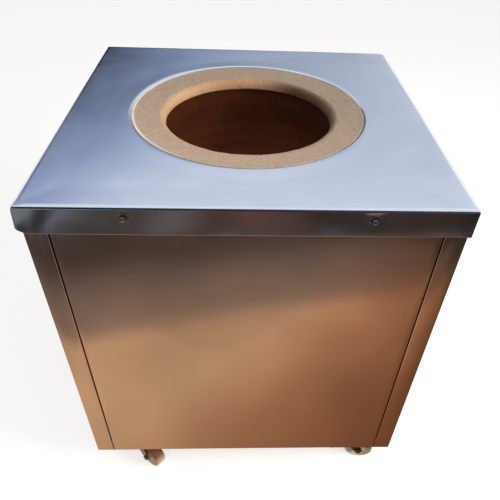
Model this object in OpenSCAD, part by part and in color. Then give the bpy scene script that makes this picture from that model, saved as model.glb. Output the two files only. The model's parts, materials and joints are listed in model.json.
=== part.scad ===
// Square charcoal tandoor on castors: a clay pot packed in insulation inside a stainless cabinet.
// Millimetres, +Z up, the front faces -Y. The origin is on the floor, under the centre of the mouth.

/* [Cabinet] */
// Outside width over the side panels
cabinet_w = 752; // [690:1:900]
// Outside depth over the front and back panels
cabinet_d = 752; // [690:1:900]
// Height of the panels, from their bottom edge to the underside of the deck
cabinet_h = 756; // [720:1:860]
// Thickness of the panel sheet
sheet_t = 1.2; // [0.8:0.1:1.6]
// Outside radius of the panel bends
panel_bend_r = 2.4; // [2:0.1:3]
// Width of the side panels' returns on the front and the back
return_w = 40; // [38:1:44]
// Depth of the folded edges along the seams
seam_lip = 12; // [6:0.5:13]
// Open seam between a return and the panel beside it
seam_gap = 2; // [1:0.1:3]

/* [Deck] */
// How far the deck's skirt stands outside the cabinet
deck_overhang = 5; // [4:0.1:8]
// Thickness of the deck sheet
deck_t = 1.5; // [1:0.1:2]
// Outside radius of the deck's bends
deck_bend_r = 3; // [2.5:0.1:4]
// Height of the skirt, over the deck sheet
skirt_h = 55; // [45:1:70]
// Height of the folded hem along the skirt's bottom edge
hem_h = 8; // [5:0.5:12]
// Radius of the opening, inside its turned-down edge
opening_r = 251; // [240:0.5:262]
// Depth of the opening's turned-down edge
opening_flange_h = 18; // [10:0.5:24]
// Distance of each deck screw from the middle of its side
deck_screw_x = 206; // [150:1:240]
// Depth of the deck screws below the deck's top face
deck_screw_drop = 20; // [18:0.5:30]
// Radius of the deck screws' threads
deck_screw_r = 3; // [2:0.1:3.5]
// Length of the deck screws under their heads
deck_screw_l = 14; // [12:0.5:20]

/* [Frame] */
// Leg of the steel angle in the two ring frames
angle_leg = 40; // [34:1:46]
// Thickness of that angle
angle_t = 4; // [3:0.5:4.5]
// Leg of the corner posts' angle
post_leg = 28; // [22:1:30]
// Thickness of the corner posts' angle
post_t = 3; // [2.5:0.5:4]
// Thickness of the base plate
base_plate_t = 3; // [2:0.5:5]
// Thickness of the pads that the castors are bolted to
pad_t = 4; // [3:0.5:6]
// Length of a castor pad, along X
pad_l = 152; // [148:1:170]
// Width of a castor pad, along Y
pad_w = 104; // [100:1:120]

/* [Clay pot] */
// Radius of the mouth at its narrowest
mouth_r = 180; // [150:1:184]
// Thickness of the clay collar round the mouth
collar_h = 30; // [29:0.5:50]
// Height of the straight wall inside the collar
throat_h = 6; // [4:0.5:7]
// Radius of the collar's rounded inner edge
lip_r = 15; // [8:0.5:16]
// How far the collar's top slopes down towards the mouth
collar_dish = 6; // [0:0.5:6]
// How far the collar's outer edge lies below the deck's top face
collar_drop = 1; // [0:0.5:4]
// Thickness of the pot's wall
pot_wall = 32; // [24:1:34]
// Outside radius of the pot at its foot
foot_r = 205; // [195:1:225]
// Outside radius of the pot at its belly
belly_r = 264; // [250:1:280]
// Outside radius of the pot at its neck
neck_r = 222; // [217:1:224]
// Height of the belly, as a share of the pot's height
belly_at = 0.42; // [0.3:0.01:0.6]
// Thickness of the tile that closes the bottom of the pot
hearth_t = 25; // [15:1:40]
// Thickness of the cast grate
grate_t = 12; // [8:0.5:18]
// Width of the grate's rim and bars
grate_bar = 9; // [6:0.5:14]
// Gap between the grate's bars
grate_gap = 13; // [8:0.5:18]
// Height of the grate above the draught port
grate_clear = 14; // [10:1:60]

/* [Insulation] */
// Length of a firebrick
brick_l = 230; // [220:1:235]
// Width of a firebrick
brick_w = 115; // [105:1:118]
// Thickness of the brick bed
brick_t = 65; // [50:1:75]
// Open joint between the bricks
brick_joint = 2; // [1:0.5:5]
// Distance of the brick bed's edges from the cabinet's outside
bed_gap = 29; // [10:1:40]
// Thickness of the ceramic wool round the pot
wool_t = 25; // [12:1:26]

/* [Draught port] */
// Width of the clear port
port_w = 150; // [110:1:170]
// Height of the clear port
port_h = 90; // [70:1:105]
// Thickness of the duct's sheet
duct_t = 2; // [1.5:0.1:3]
// Width of the duct's welding flange
duct_flange = 14; // [10:0.5:20]
// How far the damper door covers the panel round the port
door_lap = 15; // [12:0.5:20]
// Thickness of the damper door
door_t = 2; // [1.5:0.1:2.5]
// Overlap of the guides on the door's edges
guide_lap = 8; // [5:0.5:9]
// Thickness of the guides' sheet
guide_t = 1.2; // [1:0.1:1.5]
// Height of the guides' riveted foot
guide_foot = 13; // [11:0.5:18]
// Travel of the damper door
door_travel = 155; // [110:1:170]
// Radius of the damper's knob
knob_r = 11; // [8:0.5:14]
// Length of the knob, from the door
knob_h = 13; // [9:0.5:14]

/* [Castors] */
// Height of a castor, from the floor to its top plate's upper face
castor_h = 100; // [97:0.5:112]
// Distance of the castors' swivel axes from the sides
castor_inset_x = 98; // [94:1:104]
// Distance of the castors' swivel axes from the front and the back
castor_inset_y = 52; // [50:1:60]
// Radius of a wheel
wheel_r = 37.5; // [32:0.5:38.5]
// Width of a wheel's tread
wheel_w = 28; // [22:0.5:30]
// Horizontal distance from the swivel axis to the wheel's axle
trail = 36; // [30:0.5:38]
// Length of a castor's top plate
plate_l = 92; // [90:1:96]
// Width of a castor's top plate
plate_w = 64; // [62:1:68]
// Thickness of a castor's top plate
plate_t = 2.5; // [2:0.1:3.5]
// Radius of the axle bolt
axle_r = 4; // [3:0.1:4.2]
// Radius of the ball track
race_r = 18; // [15:0.5:19]
// Diameter of a bearing ball
ball_d = 5; // [4:0.1:5.5]
// Thickness of the fork's pressed steel
fork_t = 2.5; // [2:0.1:3]
// Swivel of the front left castor from +X
swivel_fl = -40; // [-180:1:180]
// Swivel of the front right castor from +X
swivel_fr = -10; // [-180:1:180]
// Swivel of the back left castor from +X
swivel_bl = 28; // [-180:1:180]
// Swivel of the back right castor from +X
swivel_br = 152; // [-180:1:180]

/* [Hidden] */
$fn = 64;

// Clearances
fit = 0.3;            // pieces that are laid against each other
fill_gap = 1;         // loose fill round the steel
frame_fit = 0.5;      // ring frames inside the panels
collar_gap = 1.5;     // clay collar inside the deck's opening
run = 0.1;            // radial clearance of a turning fit
thread_fit = 0.1;     // screws in their tapped holes
hole_fit = 0.4;       // screws in their clearance holes
slide_fit = 0.4;      // damper door in its guides
turn_fit = 0.8;       // faces that pass each other as a castor swivels

// Levels, from the floor up
base_z = castor_h + pad_t;
panel_top = base_z + cabinet_h;
deck_top = panel_top + deck_t;
plate_z = base_z + angle_t;
brick_z = plate_z + base_plate_t;
pot_z = brick_z + brick_t;
port_z = pot_z + hearth_t;
collar_top = deck_top - collar_drop;
collar_z = collar_top - collar_h;
pot_h = collar_z - pot_z;
grate_z = port_z + port_h + grate_clear;
screw_z = deck_top - deck_screw_drop;

// Plan sizes
deck_w = cabinet_w + 2 * deck_overhang;
deck_d = cabinet_d + 2 * deck_overhang;
frame_w = cabinet_w - 2 * (sheet_t + frame_fit);
frame_d = cabinet_d - 2 * (sheet_t + frame_fit);
front_w = cabinet_w - 2 * (return_w + seam_gap);
back_y = cabinet_d / 2;
bed_w = cabinet_w - 2 * bed_gap;
bed_d = cabinet_d - 2 * bed_gap;

// Deck screws and the plain washers under their heads
washer_r = 3 * deck_screw_r;
washer_t = 1.6;
screw_hex_r = 1.85 * deck_screw_r;
screw_hex_h = 4;
screw_dimple_r = deck_screw_r * 0.8;
screw_dimple_h = 1.2;

// Damper door and its guides
door_w = port_w + 2 * door_lap;
door_h = port_h + 2 * door_lap;
door_z = port_z - door_lap;
door_y = back_y + slide_fit;
guide_front_y = door_y + door_t + slide_fit;
guide_start_x = -door_w / 2 - guide_t - slide_fit;
guide_l = door_w + door_travel + 2 * (guide_t + slide_fit);
rivet_r = 1.6;
rivet_head_r = 3.4;
rivet_head_h = 1.1;
knob_inset = 30;
knob_screw_r = 2.5;
knob_screw_head_r = 4.6;

// Castors, measured from the swivel axis and the top plate's upper face
axle_drop = castor_h - wheel_r;
cup_wall = 3;
cup_r = race_r + ball_d / 2 + cup_wall;
cup_h = 4;
ball_sink = 0.35 * ball_d;
ball_drop = plate_t + cup_h - ball_sink + ball_d / 2;
crown_top = ball_drop + ball_d / 2 - ball_sink;
crown_t = fork_t + ball_sink;
kingpin_r = 5;
kingpin_head_r = 8;
kingpin_head_h = 3;
hub_reach = 2;
hub_w = wheel_w + 2 * hub_reach;
hub_wall = 9;
hub_r = axle_r + hub_wall;
bush_wall = 2;
tread_t = 6;
tread_round = 3;
web_t = 6;
rib_t = 2.5;
rib_inset = 3;
fork_gap = hub_w + 2 * turn_fit;
boss_wall = 7;
fork_boss_r = axle_r + boss_wall;
leg_lean = 4;
crown_edge = 7;
crown_r = fork_gap / 2 + fork_t + crown_edge;
balls = 16;
hole_inset = 9;
plate_hole_l = plate_l - 2 * hole_inset;
plate_hole_w = plate_w - 2 * hole_inset;
castor_bolt_r = 4;
bolt_head_h = 5;

STAINLESS = "#b9b2a8";
DECK_STEEL = "#bcc6d6";
DARK_STEEL = "#5d6063";
ZINC = "#a9abad";
TERRACOTTA = "#9a5a38";
FIRECLAY = "#c4a98e";
WOOL = "#e9e5da";
FILL = "#c9b183";
IRON = "#3c3a38";
NYLON = "#dccbb0";

// ---------------------------------------------------------------- helpers

// Points of an arc round [cx, cy], in equal steps from one angle to another.
function arc(cx, cy, r, from, to, steps = 5) =
    [for (i = [0 : steps]) let (a = from + (to - from) * i / steps) [cx + r * cos(a), cy + r * sin(a)]];

// The pot's outside radius at a share of its height: swelling to the belly, then in to the neck.
function pot_r(share) =
    share < belly_at
        ? foot_r + (belly_r - foot_r) * sin(90 * share / belly_at)
        : neck_r + (belly_r - neck_r) * cos(90 * (share - belly_at) / (1 - belly_at));

// The same at a height above the floor.
function pot_r_at(z) = pot_r((z - pot_z) / pot_h);

// A jar wall between two offsets from the pot's outside, over its full height less the clearances.
module pot_shell(inner, outer, low = 0, high = 0, steps = 18) {
    shares = [for (i = [0 : steps]) i / steps];
    zs = [for (s = shares) pot_z + low + s * (pot_h - low - high)];
    rotate_extrude()
        polygon(concat(
            [for (z = zs) [pot_r_at(z) + outer, z]],
            [for (i = [steps : -1 : 0]) [pot_r_at(zs[i]) + inner, zs[i]]]
        ));
}

// A block that stands on a level, centred on the Z axis.
module block(w, d, h, z = 0) {
    translate([-w / 2, -d / 2, z]) cube([w, d, h]);
}

// A rod along -Y from a face, centred at a place on that face.
module rod_y(x, y, z, r, l) {
    translate([x, y, z]) rotate([90, 0, 0]) cylinder(r = r, h = l);
}

// The deck screws' places: each side of the cabinet is turned to the front, and has two screws.
module at_deck_screws() {
    for (side = [0 : 3])
        for (x = [-deck_screw_x, deck_screw_x])
            rotate([0, 0, 90 * side])
                translate([x, -(side % 2 == 0 ? deck_d : deck_w) / 2, screw_z])
                    rotate([90, 0, 0]) children();
}

// Holes for the deck screws, from outside the skirt to inside the frame.
module deck_screw_holes(r) {
    hole_l = deck_overhang + sheet_t + frame_fit + angle_t + 2;
    at_deck_screws() translate([0, 0, -hole_l]) cylinder(r = r, h = hole_l + 1);
}

// A ring of four mitred rails with one section, drawn as [inward, up] from the ring's outer bottom edge.
module mitred_rails(w, d, section_w, z) {
    for (side = [0 : 3]) {
        run_l = side % 2 == 0 ? w : d;
        out = (side % 2 == 0 ? d : w) / 2;
        rotate([0, 0, 90 * side])
            intersection() {
                translate([-run_l / 2, -out, z])
                    rotate([90, 0, 90]) linear_extrude(run_l) children();
                linear_extrude(z + 2 * section_w + panel_top)
                    polygon([
                        [-run_l / 2, -out], [run_l / 2, -out],
                        [run_l / 2 - 2 * section_w, -out + 2 * section_w],
                        [-run_l / 2 + 2 * section_w, -out + 2 * section_w]
                    ]);
            }
    }
}

// ---------------------------------------------------------------- sheet metal

// A bar with the deck's rounded top edges, w across X and d along Y.
module deck_bar(w, d, bend_r, top_z, low_z) {
    translate([0, d / 2, 0]) rotate([90, 0, 0]) linear_extrude(d)
        polygon(concat(
            [[-w / 2, low_z], [w / 2, low_z]],
            arc(w / 2 - bend_r, top_z - bend_r, bend_r, 0, 90),
            arc(-w / 2 + bend_r, top_z - bend_r, bend_r, 90, 180)
        ));
}

// The deck's outer form or, inset by the sheet's thickness, its inner one.
module deck_form(inset, low_z) {
    intersection() {
        deck_bar(deck_w - 2 * inset, deck_d - 2 * inset, deck_bend_r - inset, deck_top - inset, low_z);
        rotate([0, 0, 90])
            deck_bar(deck_d - 2 * inset, deck_w - 2 * inset, deck_bend_r - inset, deck_top - inset, low_z);
    }
}

// The turned-down edge of the opening, with the bend where it leaves the deck.
module opening_flange() {
    bend_in = deck_bend_r - deck_t;
    bend_x = opening_r + deck_bend_r;
    bend_z = deck_top - deck_bend_r;
    low_z = deck_top - opening_flange_h;
    rotate_extrude()
        polygon(concat(
            [[opening_r, low_z]],
            arc(bend_x, bend_z, deck_bend_r, 180, 90),
            [[bend_x + 1, deck_top], [bend_x + 1, deck_top - deck_t]],
            arc(bend_x, bend_z, bend_in, 90, 180),
            [[opening_r + deck_t, low_z]]
        ));
}

module deck() {
    skirt_z = deck_top - skirt_h;
    color(DECK_STEEL) difference() {
        union() {
            difference() {
                deck_form(0, skirt_z);
                deck_form(deck_t, skirt_z - 1);
                translate([0, 0, panel_top - 1]) cylinder(r = opening_r + deck_bend_r + 0.5, h = 4 * deck_t);
            }
            opening_flange();
            difference() {
                block(deck_w - deck_t, deck_d - deck_t, hem_h, skirt_z);
                block(deck_w - 4 * deck_t, deck_d - 4 * deck_t, hem_h + 2, skirt_z - 1);
            }
        }
        deck_screw_holes(deck_screw_r + hole_fit);
    }
}

// Hexagon screws with a dished head.
module deck_screws() {
    color(ZINC) at_deck_screws() difference() {
        union() {
            translate([0, 0, -deck_screw_l]) cylinder(r = deck_screw_r, h = deck_screw_l + washer_t);
            translate([0, 0, washer_t]) cylinder(r = screw_hex_r, h = screw_hex_h, $fn = 6);
        }
        translate([0, 0, washer_t + screw_hex_h - screw_dimple_h])
            cylinder(r = screw_dimple_r, h = screw_dimple_h + 1);
    }
}

// Plain washers between the screws' heads and the skirt.
module deck_washers() {
    color(ZINC) at_deck_screws() difference() {
        cylinder(r = washer_r, h = washer_t);
        translate([0, 0, -1]) cylinder(r = deck_screw_r + hole_fit, h = washer_t + 2);
    }
}

// Plan of a side panel on +X: the wall, its two rounded returns and the lips along the seams.
module side_panel_plan() {
    x = cabinet_w / 2;
    y = cabinet_d / 2;
    inner_r = panel_bend_r - sheet_t;
    bend = panel_bend_r;
    edge = x - return_w;
    polygon(concat(
        arc(x - bend, -y + bend, bend, 0, -90),
        arc(edge + bend, -y + bend, bend, -90, -180),
        [[edge, -y + seam_lip], [edge + sheet_t, -y + seam_lip]],
        arc(edge + bend, -y + bend, inner_r, -180, -90),
        arc(x - bend, -y + bend, inner_r, -90, 0),
        arc(x - bend, y - bend, inner_r, 0, 90),
        arc(edge + bend, y - bend, inner_r, 90, 180),
        [[edge + sheet_t, y - seam_lip], [edge, y - seam_lip]],
        arc(edge + bend, y - bend, bend, 180, 90),
        arc(x - bend, y - bend, bend, 90, 0)
    ));
}

// The space of the two ring frames, which the lips of all panels are cut back from.
module frame_space() {
    for (z = [base_z - 1, panel_top - angle_leg - fit])
        block(cabinet_w - 2 * sheet_t, cabinet_d - 2 * sheet_t, angle_leg + fit + 1, z);
}

module side_panel() {
    difference() {
        translate([0, 0, base_z]) linear_extrude(cabinet_h) side_panel_plan();
        frame_space();
        deck_screw_holes(deck_screw_r + hole_fit);
    }
}

module right_side_panel() {
    color(STAINLESS) side_panel();
}

module left_side_panel() {
    color(STAINLESS) mirror([1, 0, 0]) side_panel();
}

// Plan of the front panel: a pan whose edges are folded in along the seams.
module front_panel_plan() {
    x = front_w / 2;
    y = cabinet_d / 2;
    bend = panel_bend_r;
    inner_r = panel_bend_r - sheet_t;
    polygon(concat(
        [[-x, -y + seam_lip]],
        arc(-x + bend, -y + bend, bend, 180, 270),
        arc(x - bend, -y + bend, bend, 270, 360),
        [[x, -y + seam_lip], [x - sheet_t, -y + seam_lip]],
        arc(x - bend, -y + bend, inner_r, 360, 270),
        arc(-x + bend, -y + bend, inner_r, 270, 180),
        [[-x + sheet_t, -y + seam_lip]]
    ));
}

module front_panel() {
    color(STAINLESS) difference() {
        translate([0, 0, base_z]) linear_extrude(cabinet_h) front_panel_plan();
        frame_space();
        deck_screw_holes(deck_screw_r + hole_fit);
    }
}

module back_panel() {
    color(STAINLESS) difference() {
        rotate([0, 0, 180]) translate([0, 0, base_z]) linear_extrude(cabinet_h) front_panel_plan();
        frame_space();
        deck_screw_holes(deck_screw_r + hole_fit);
        translate([-port_w / 2, back_y - 2 * seam_lip, port_z]) cube([port_w, 3 * seam_lip, port_h]);
        at_rivets() cylinder(r = rivet_r + run, h = 4 * sheet_t, center = true);
    }
}

// ---------------------------------------------------------------- frame

// Section of the steel angle, its corner at the ring's outer bottom edge.
module angle_section(leg, t) {
    polygon([[0, 0], [leg, 0], [leg, t], [t, t], [t, leg], [0, leg]]);
}

module base_frame() {
    color(DARK_STEEL) difference() {
        mitred_rails(frame_w, frame_d, angle_leg, base_z) angle_section(angle_leg, angle_t);
        at_castor_bolts() cylinder(r = castor_bolt_r + hole_fit, h = 2 * angle_t);
    }
}

module top_frame() {
    color(DARK_STEEL) difference() {
        mitred_rails(frame_w, frame_d, angle_leg, panel_top)
            mirror([0, 1]) angle_section(angle_leg, angle_t);
        deck_screw_holes(deck_screw_r + thread_fit);
    }
}

// A corner post between the ring frames, on the given side of X and of Y.
module corner_post(side_x, side_y) {
    color(DARK_STEEL)
        scale([side_x, side_y, 1])
            translate([frame_w / 2 - angle_t, frame_d / 2 - angle_t, base_z + angle_t])
                rotate([0, 0, 180]) linear_extrude(cabinet_h - 2 * angle_t) angle_section(post_leg, post_t);
}

module base_plate() {
    plate_edge = angle_t + frame_fit;
    notch = post_leg + 2 * frame_fit;
    color(DARK_STEEL) difference() {
        block(frame_w - 2 * plate_edge, frame_d - 2 * plate_edge, base_plate_t, plate_z);
        for (x = [-1, 1], y = [-1, 1])
            translate([x * (frame_w / 2 - angle_t), y * (frame_d / 2 - angle_t), plate_z])
                block(2 * notch, 2 * notch, 3 * base_plate_t, -base_plate_t);
    }
}

module castor_pads() {
    color(DARK_STEEL) for (x = [-1, 1], y = [-1, 1])
        difference() {
            translate([x * (frame_w - pad_l) / 2, y * (frame_d - pad_w) / 2, 0])
                block(pad_l, pad_w, pad_t, castor_h);
            at_castor_bolts() cylinder(r = castor_bolt_r + thread_fit, h = 4 * pad_t, center = true);
        }
}

// ---------------------------------------------------------------- clay and insulation

module clay_pot() {
    color(TERRACOTTA) difference() {
        pot_shell(-pot_wall, 0);
        translate([-port_w / 2, 0, port_z]) cube([port_w, cabinet_d, port_h]);
    }
}

// The fireclay ring that closes the pot's neck and finishes level with the deck.
module mouth_collar() {
    outer = opening_r - collar_gap;
    edge_r = 3;
    lip_z = collar_top - collar_dish - lip_r;
    throat_z = lip_z - throat_h;
    color(FIRECLAY) rotate_extrude()
        polygon(concat(
            [[outer, collar_z]],
            arc(outer - edge_r, collar_top - edge_r, edge_r, 0, 90),
            arc(mouth_r + lip_r, lip_z, lip_r, 90, 180, 9),
            [[mouth_r, throat_z], [mouth_r + (throat_z - collar_z), collar_z]]
        ));
}

module hearth_tile() {
    color(FIRECLAY) translate([0, 0, pot_z])
        cylinder(r = foot_r - pot_wall - fit, h = hearth_t);
}

// A cast grate that wedges in the pot where the wall narrows.
module fire_grate() {
    grate_r = pot_r_at(grate_z) - pot_wall - fit;
    pitch = grate_bar + grate_gap;
    half_count = floor((grate_r - grate_bar) / pitch);
    color(IRON) translate([0, 0, grate_z]) {
        difference() {
            cylinder(r = grate_r, h = grate_t);
            translate([0, 0, -1]) cylinder(r = grate_r - grate_bar, h = grate_t + 2);
        }
        intersection() {
            cylinder(r = grate_r - grate_bar / 2, h = grate_t);
            union() {
                for (i = [-half_count : half_count])
                    translate([i * pitch, 0, 0]) block(grate_bar, 2 * grate_r, grate_t);
                block(2 * grate_r, 2 * grate_bar, grate_t);
            }
        }
    }
}

// How many bricks a row takes. The end bricks are cut, but never to less than a hundredth of a brick.
function bricks(bed, size) = ceil((bed + brick_joint) / (size + brick_joint) - 0.01);

module brick_bed() {
    across = bricks(bed_w, brick_l);
    along = bricks(bed_d, brick_w);
    color(FIRECLAY) for (i = [0 : across - 1], j = [0 : along - 1])
        intersection() {
            translate([
                (i - (across - 1) / 2) * (brick_l + brick_joint),
                (j - (along - 1) / 2) * (brick_w + brick_joint),
                0
            ])
                block(brick_l, brick_w, brick_t, brick_z);
            block(bed_w, bed_d, brick_t, brick_z);
        }
}

// Room for the draught duct through whatever lies round the pot.
module duct_space(grow) {
    size_w = port_w + 2 * (duct_t + grow);
    translate([-size_w / 2, 0, port_z - duct_t - grow])
        cube([size_w, cabinet_d, port_h + 2 * (duct_t + grow)]);
}

module wool_blanket() {
    color(WOOL) difference() {
        pot_shell(fit, wool_t, fit, fit);
        duct_space(fit);
    }
}

// Loose fill out to the panels and, between the legs of the ring frames, up to the collar and down
// round the brick bed.
module insulation_fill() {
    low_z = brick_z + fit;
    bed_z = pot_z + fit;
    to_panels = 2 * (sheet_t + fill_gap);
    to_frame = 2 * (sheet_t + frame_fit + angle_t + fill_gap);
    color(FILL) difference() {
        union() {
            block(cabinet_w - to_panels, cabinet_d - to_panels, panel_top - angle_leg - fill_gap - bed_z, bed_z);
            block(cabinet_w - to_frame, cabinet_d - to_frame, collar_z - fit - low_z, low_z);
        }
        block(bed_w + 2 * fit, bed_d + 2 * fit, bed_z, 0);
        pot_shell_solid(wool_t + fit);
        duct_space(fit);
        duct_flange_form(fill_gap);
        for (x = [-1, 1], y = [-1, 1]) {
            translate([x * frame_w / 2, y * frame_d / 2, 0])
                block(2 * (angle_t + post_leg + fill_gap), 2 * (angle_t + post_leg + fill_gap), panel_top);
            translate([x * (front_w + seam_gap) / 2, y * cabinet_d / 2, 0])
                block(seam_gap + 2 * (sheet_t + fill_gap), 2 * (seam_lip + fill_gap), panel_top);
        }
    }
}

// The pot's outer form as a plug, grown by an offset and longer than the pot.
module pot_shell_solid(grow, steps = 18) {
    rotate_extrude()
        polygon(concat(
            [[0, pot_z - 1], [foot_r + grow, pot_z - 1]],
            [for (i = [0 : steps]) let (s = i / steps) [pot_r(s) + grow, pot_z + s * pot_h]],
            [[neck_r + grow, collar_z + 1], [0, collar_z + 1]]
        ));
}

// ---------------------------------------------------------------- draught port

// The flange round the duct's outer end, laid against the back panel.
module duct_flange_form(grow) {
    flange_y = back_y - sheet_t - fit - duct_t;
    outer_w = port_w + 2 * (duct_t + duct_flange);
    outer_h = port_h + 2 * (duct_t + duct_flange);
    translate([-outer_w / 2 - grow, flange_y - grow, port_z - duct_t - duct_flange - grow])
        cube([outer_w + 2 * grow, duct_t + grow, outer_h + 2 * grow]);
}

// A steel sleeve from the back panel to the hole in the pot.
module draught_duct() {
    color(DARK_STEEL) difference() {
        union() {
            intersection() {
                duct_space(0);
                block(cabinet_w, cabinet_d - 2 * (sheet_t + fit), panel_top);
            }
            duct_flange_form(0);
        }
        translate([-port_w / 2, -1, port_z]) cube([port_w, cabinet_d, port_h]);
        pot_shell_solid(fit);
    }
}

// Section of a guide, up from the door's edge: foot on the panel, riser and the lip over the door.
module guide_section() {
    lip_y = guide_front_y - back_y;
    polygon([
        [0, slide_fit], [lip_y, slide_fit], [lip_y, -guide_lap],
        [lip_y + guide_t, -guide_lap], [lip_y + guide_t, slide_fit + guide_t],
        [guide_t, slide_fit + guide_t], [guide_t, slide_fit + guide_foot], [0, slide_fit + guide_foot]
    ]);
}

module guide_rail() {
    translate([guide_start_x, back_y, 0]) rotate([90, 0, 90]) linear_extrude(guide_l) guide_section();
}

// Stops that close a guide's channel at both ends.
module guide_stops(z) {
    for (x = [guide_start_x, guide_start_x + guide_l - guide_t])
        translate([x, back_y, z]) cube([guide_t, guide_front_y - back_y + guide_t / 2, guide_lap + slide_fit]);
}

module guide_upper() {
    color(STAINLESS) difference() {
        union() {
            translate([0, 0, door_z + door_h]) guide_rail();
            guide_stops(door_z + door_h - guide_lap);
        }
        at_rivets() cylinder(r = rivet_r + run, h = 6 * guide_t, center = true);
    }
}

module guide_lower() {
    color(STAINLESS) difference() {
        union() {
            translate([0, 0, door_z]) mirror([0, 0, 1]) guide_rail();
            guide_stops(door_z - slide_fit);
        }
        at_rivets() cylinder(r = rivet_r + run, h = 6 * guide_t, center = true);
    }
}

// The rivets' places on the feet of the guides: three along each, facing out of the back panel.
module at_rivets() {
    foot_mid = slide_fit + (guide_t + guide_foot) / 2;
    for (z = [door_z - foot_mid, door_z + door_h + foot_mid], i = [0 : 2])
        translate([guide_start_x + guide_l * (0.1 + 0.4 * i), back_y, z]) rotate([-90, 0, 0]) children();
}

module guide_rivets() {
    grip = sheet_t + guide_t;
    color(ZINC) at_rivets() {
        translate([0, 0, guide_t]) intersection() {
            cylinder(r = rivet_head_r, h = rivet_head_h);
            translate([0, 0, rivet_head_h - 2 * rivet_head_r]) sphere(r = 2 * rivet_head_r);
        }
        translate([0, 0, guide_t - grip - 0.5]) cylinder(r = rivet_r, h = grip + 0.5);
    }
}

module damper_door() {
    color(STAINLESS) difference() {
        translate([-door_w / 2, door_y, door_z]) cube([door_w, door_t, door_h]);
        at_knob() translate([0, 0, -door_t]) knob_screw_form(run);
    }
}

// The knob's place on the outside of the door, with +Z pointing out of the back.
module at_knob() {
    translate([-door_w / 2 + knob_inset, door_y + door_t, door_z + door_h / 2]) rotate([-90, 0, 0]) children();
}

// The countersunk screw behind the knob, from the door's inner face.
module knob_screw_form(grow) {
    cylinder(r1 = knob_screw_head_r + grow, r2 = knob_screw_r + grow, h = door_t);
    cylinder(r = knob_screw_r + grow, h = door_t + knob_h * 0.6);
}

module knob_screw() {
    color(ZINC) at_knob() translate([0, 0, -door_t]) knob_screw_form(0);
}

// A turned knob with a waisted stem.
module damper_knob() {
    stem_r = knob_r * 0.55;
    crown = knob_h * 0.35;
    bead = knob_h * 0.16;
    color(IRON) at_knob() difference() {
        rotate_extrude()
            polygon(concat(
                [[0, 0], [stem_r + 1, 0], [stem_r, 1.5], [stem_r, knob_h * 0.35]],
                arc(knob_r - bead, knob_h - crown - bead, bead, -90, 0, 4),
                arc(knob_r - bead, knob_h - bead, bead, 0, 90, 4),
                [[0, knob_h]]
            ));
        translate([0, 0, -door_t]) knob_screw_form(run);
    }
}

// ---------------------------------------------------------------- castors

// The corners, in the order of the names: front left, front right, back left, back right.
corner = [[-1, -1], [1, -1], [-1, 1], [1, 1]];
swivel = [swivel_fl, swivel_fr, swivel_bl, swivel_br];

// Puts its children at a castor's swivel axis, with Z = 0 on the top plate's upper face.
module at_castor(i) {
    translate([
        corner[i][0] * (cabinet_w / 2 - castor_inset_x),
        corner[i][1] * (cabinet_d / 2 - castor_inset_y),
        castor_h
    ]) children();
}

// The same, turned to the castor's own swivel, with +X along the trail.
module at_fork(i) {
    at_castor(i) rotate([0, 0, swivel[i]]) children();
}

// The four bolt holes of each castor, with Z = 0 on the plate's upper face.
module at_castor_bolts() {
    for (i = [0 : 3], x = [-1, 1], y = [-1, 1])
        at_castor(i) translate([x * plate_hole_l / 2, y * plate_hole_w / 2, 0]) children();
}

module castor_bolts() {
    color(ZINC) at_castor_bolts() {
        translate([0, 0, -plate_t]) cylinder(r = castor_bolt_r, h = plate_t + pad_t + angle_t * 0.7);
        translate([0, 0, -plate_t - bolt_head_h]) cylinder(r = castor_bolt_r * 1.85, h = bolt_head_h, $fn = 6);
    }
}

// A torus for a ball track, at a depth below the plate's face.
module ball_track(drop, r) {
    translate([0, 0, -drop]) rotate_extrude() translate([race_r, 0]) circle(r = r);
}

// The top plate with its pressed ball cup.
module castor_plate(i) {
    color(ZINC) at_castor(i) difference() {
        union() {
            block(plate_l, plate_w, plate_t, -plate_t);
            translate([0, 0, -plate_t - cup_h]) cylinder(r = cup_r, h = cup_h + plate_t / 2);
        }
        for (x = [-1, 1], y = [-1, 1])
            translate([x * plate_hole_l / 2, y * plate_hole_w / 2, -2 * plate_t])
                cylinder(r = castor_bolt_r + hole_fit, h = 3 * plate_t);
        translate([0, 0, -plate_t - cup_h - 1]) cylinder(r = kingpin_r + run, h = cup_h + 2 * plate_t);
        ball_track(ball_drop, ball_d / 2 + run);
    }
}

module ball_races() {
    color(ZINC) for (i = [0 : 3], b = [0 : balls - 1])
        at_castor(i) rotate([0, 0, 360 * b / balls])
            translate([race_r, 0, -ball_drop]) sphere(d = ball_d);
}

module kingpins() {
    color(ZINC) for (i = [0 : 3]) at_castor(i) {
        pin_low = crown_top + crown_t + fit;
        translate([0, 0, -pin_low]) cylinder(r = kingpin_r, h = pin_low);
        translate([0, 0, -pin_low - kingpin_head_h]) cylinder(r = kingpin_head_r, h = kingpin_head_h);
    }
}

// Outline of a fork leg, X along the trail and Y up: from the crown down to the axle's boss.
module fork_leg_outline() {
    mid_z = -crown_top - crown_t / 2;
    low_z = -crown_top - crown_t - leg_lean;
    polygon(concat(
        [[-crown_r * 0.72, mid_z], [-crown_r * 0.72, low_z]],
        arc(trail, -axle_drop, fork_boss_r, -145, 20, 10),
        [[crown_r * 0.8, low_z], [crown_r * 0.8, mid_z]]
    ));
}

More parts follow.
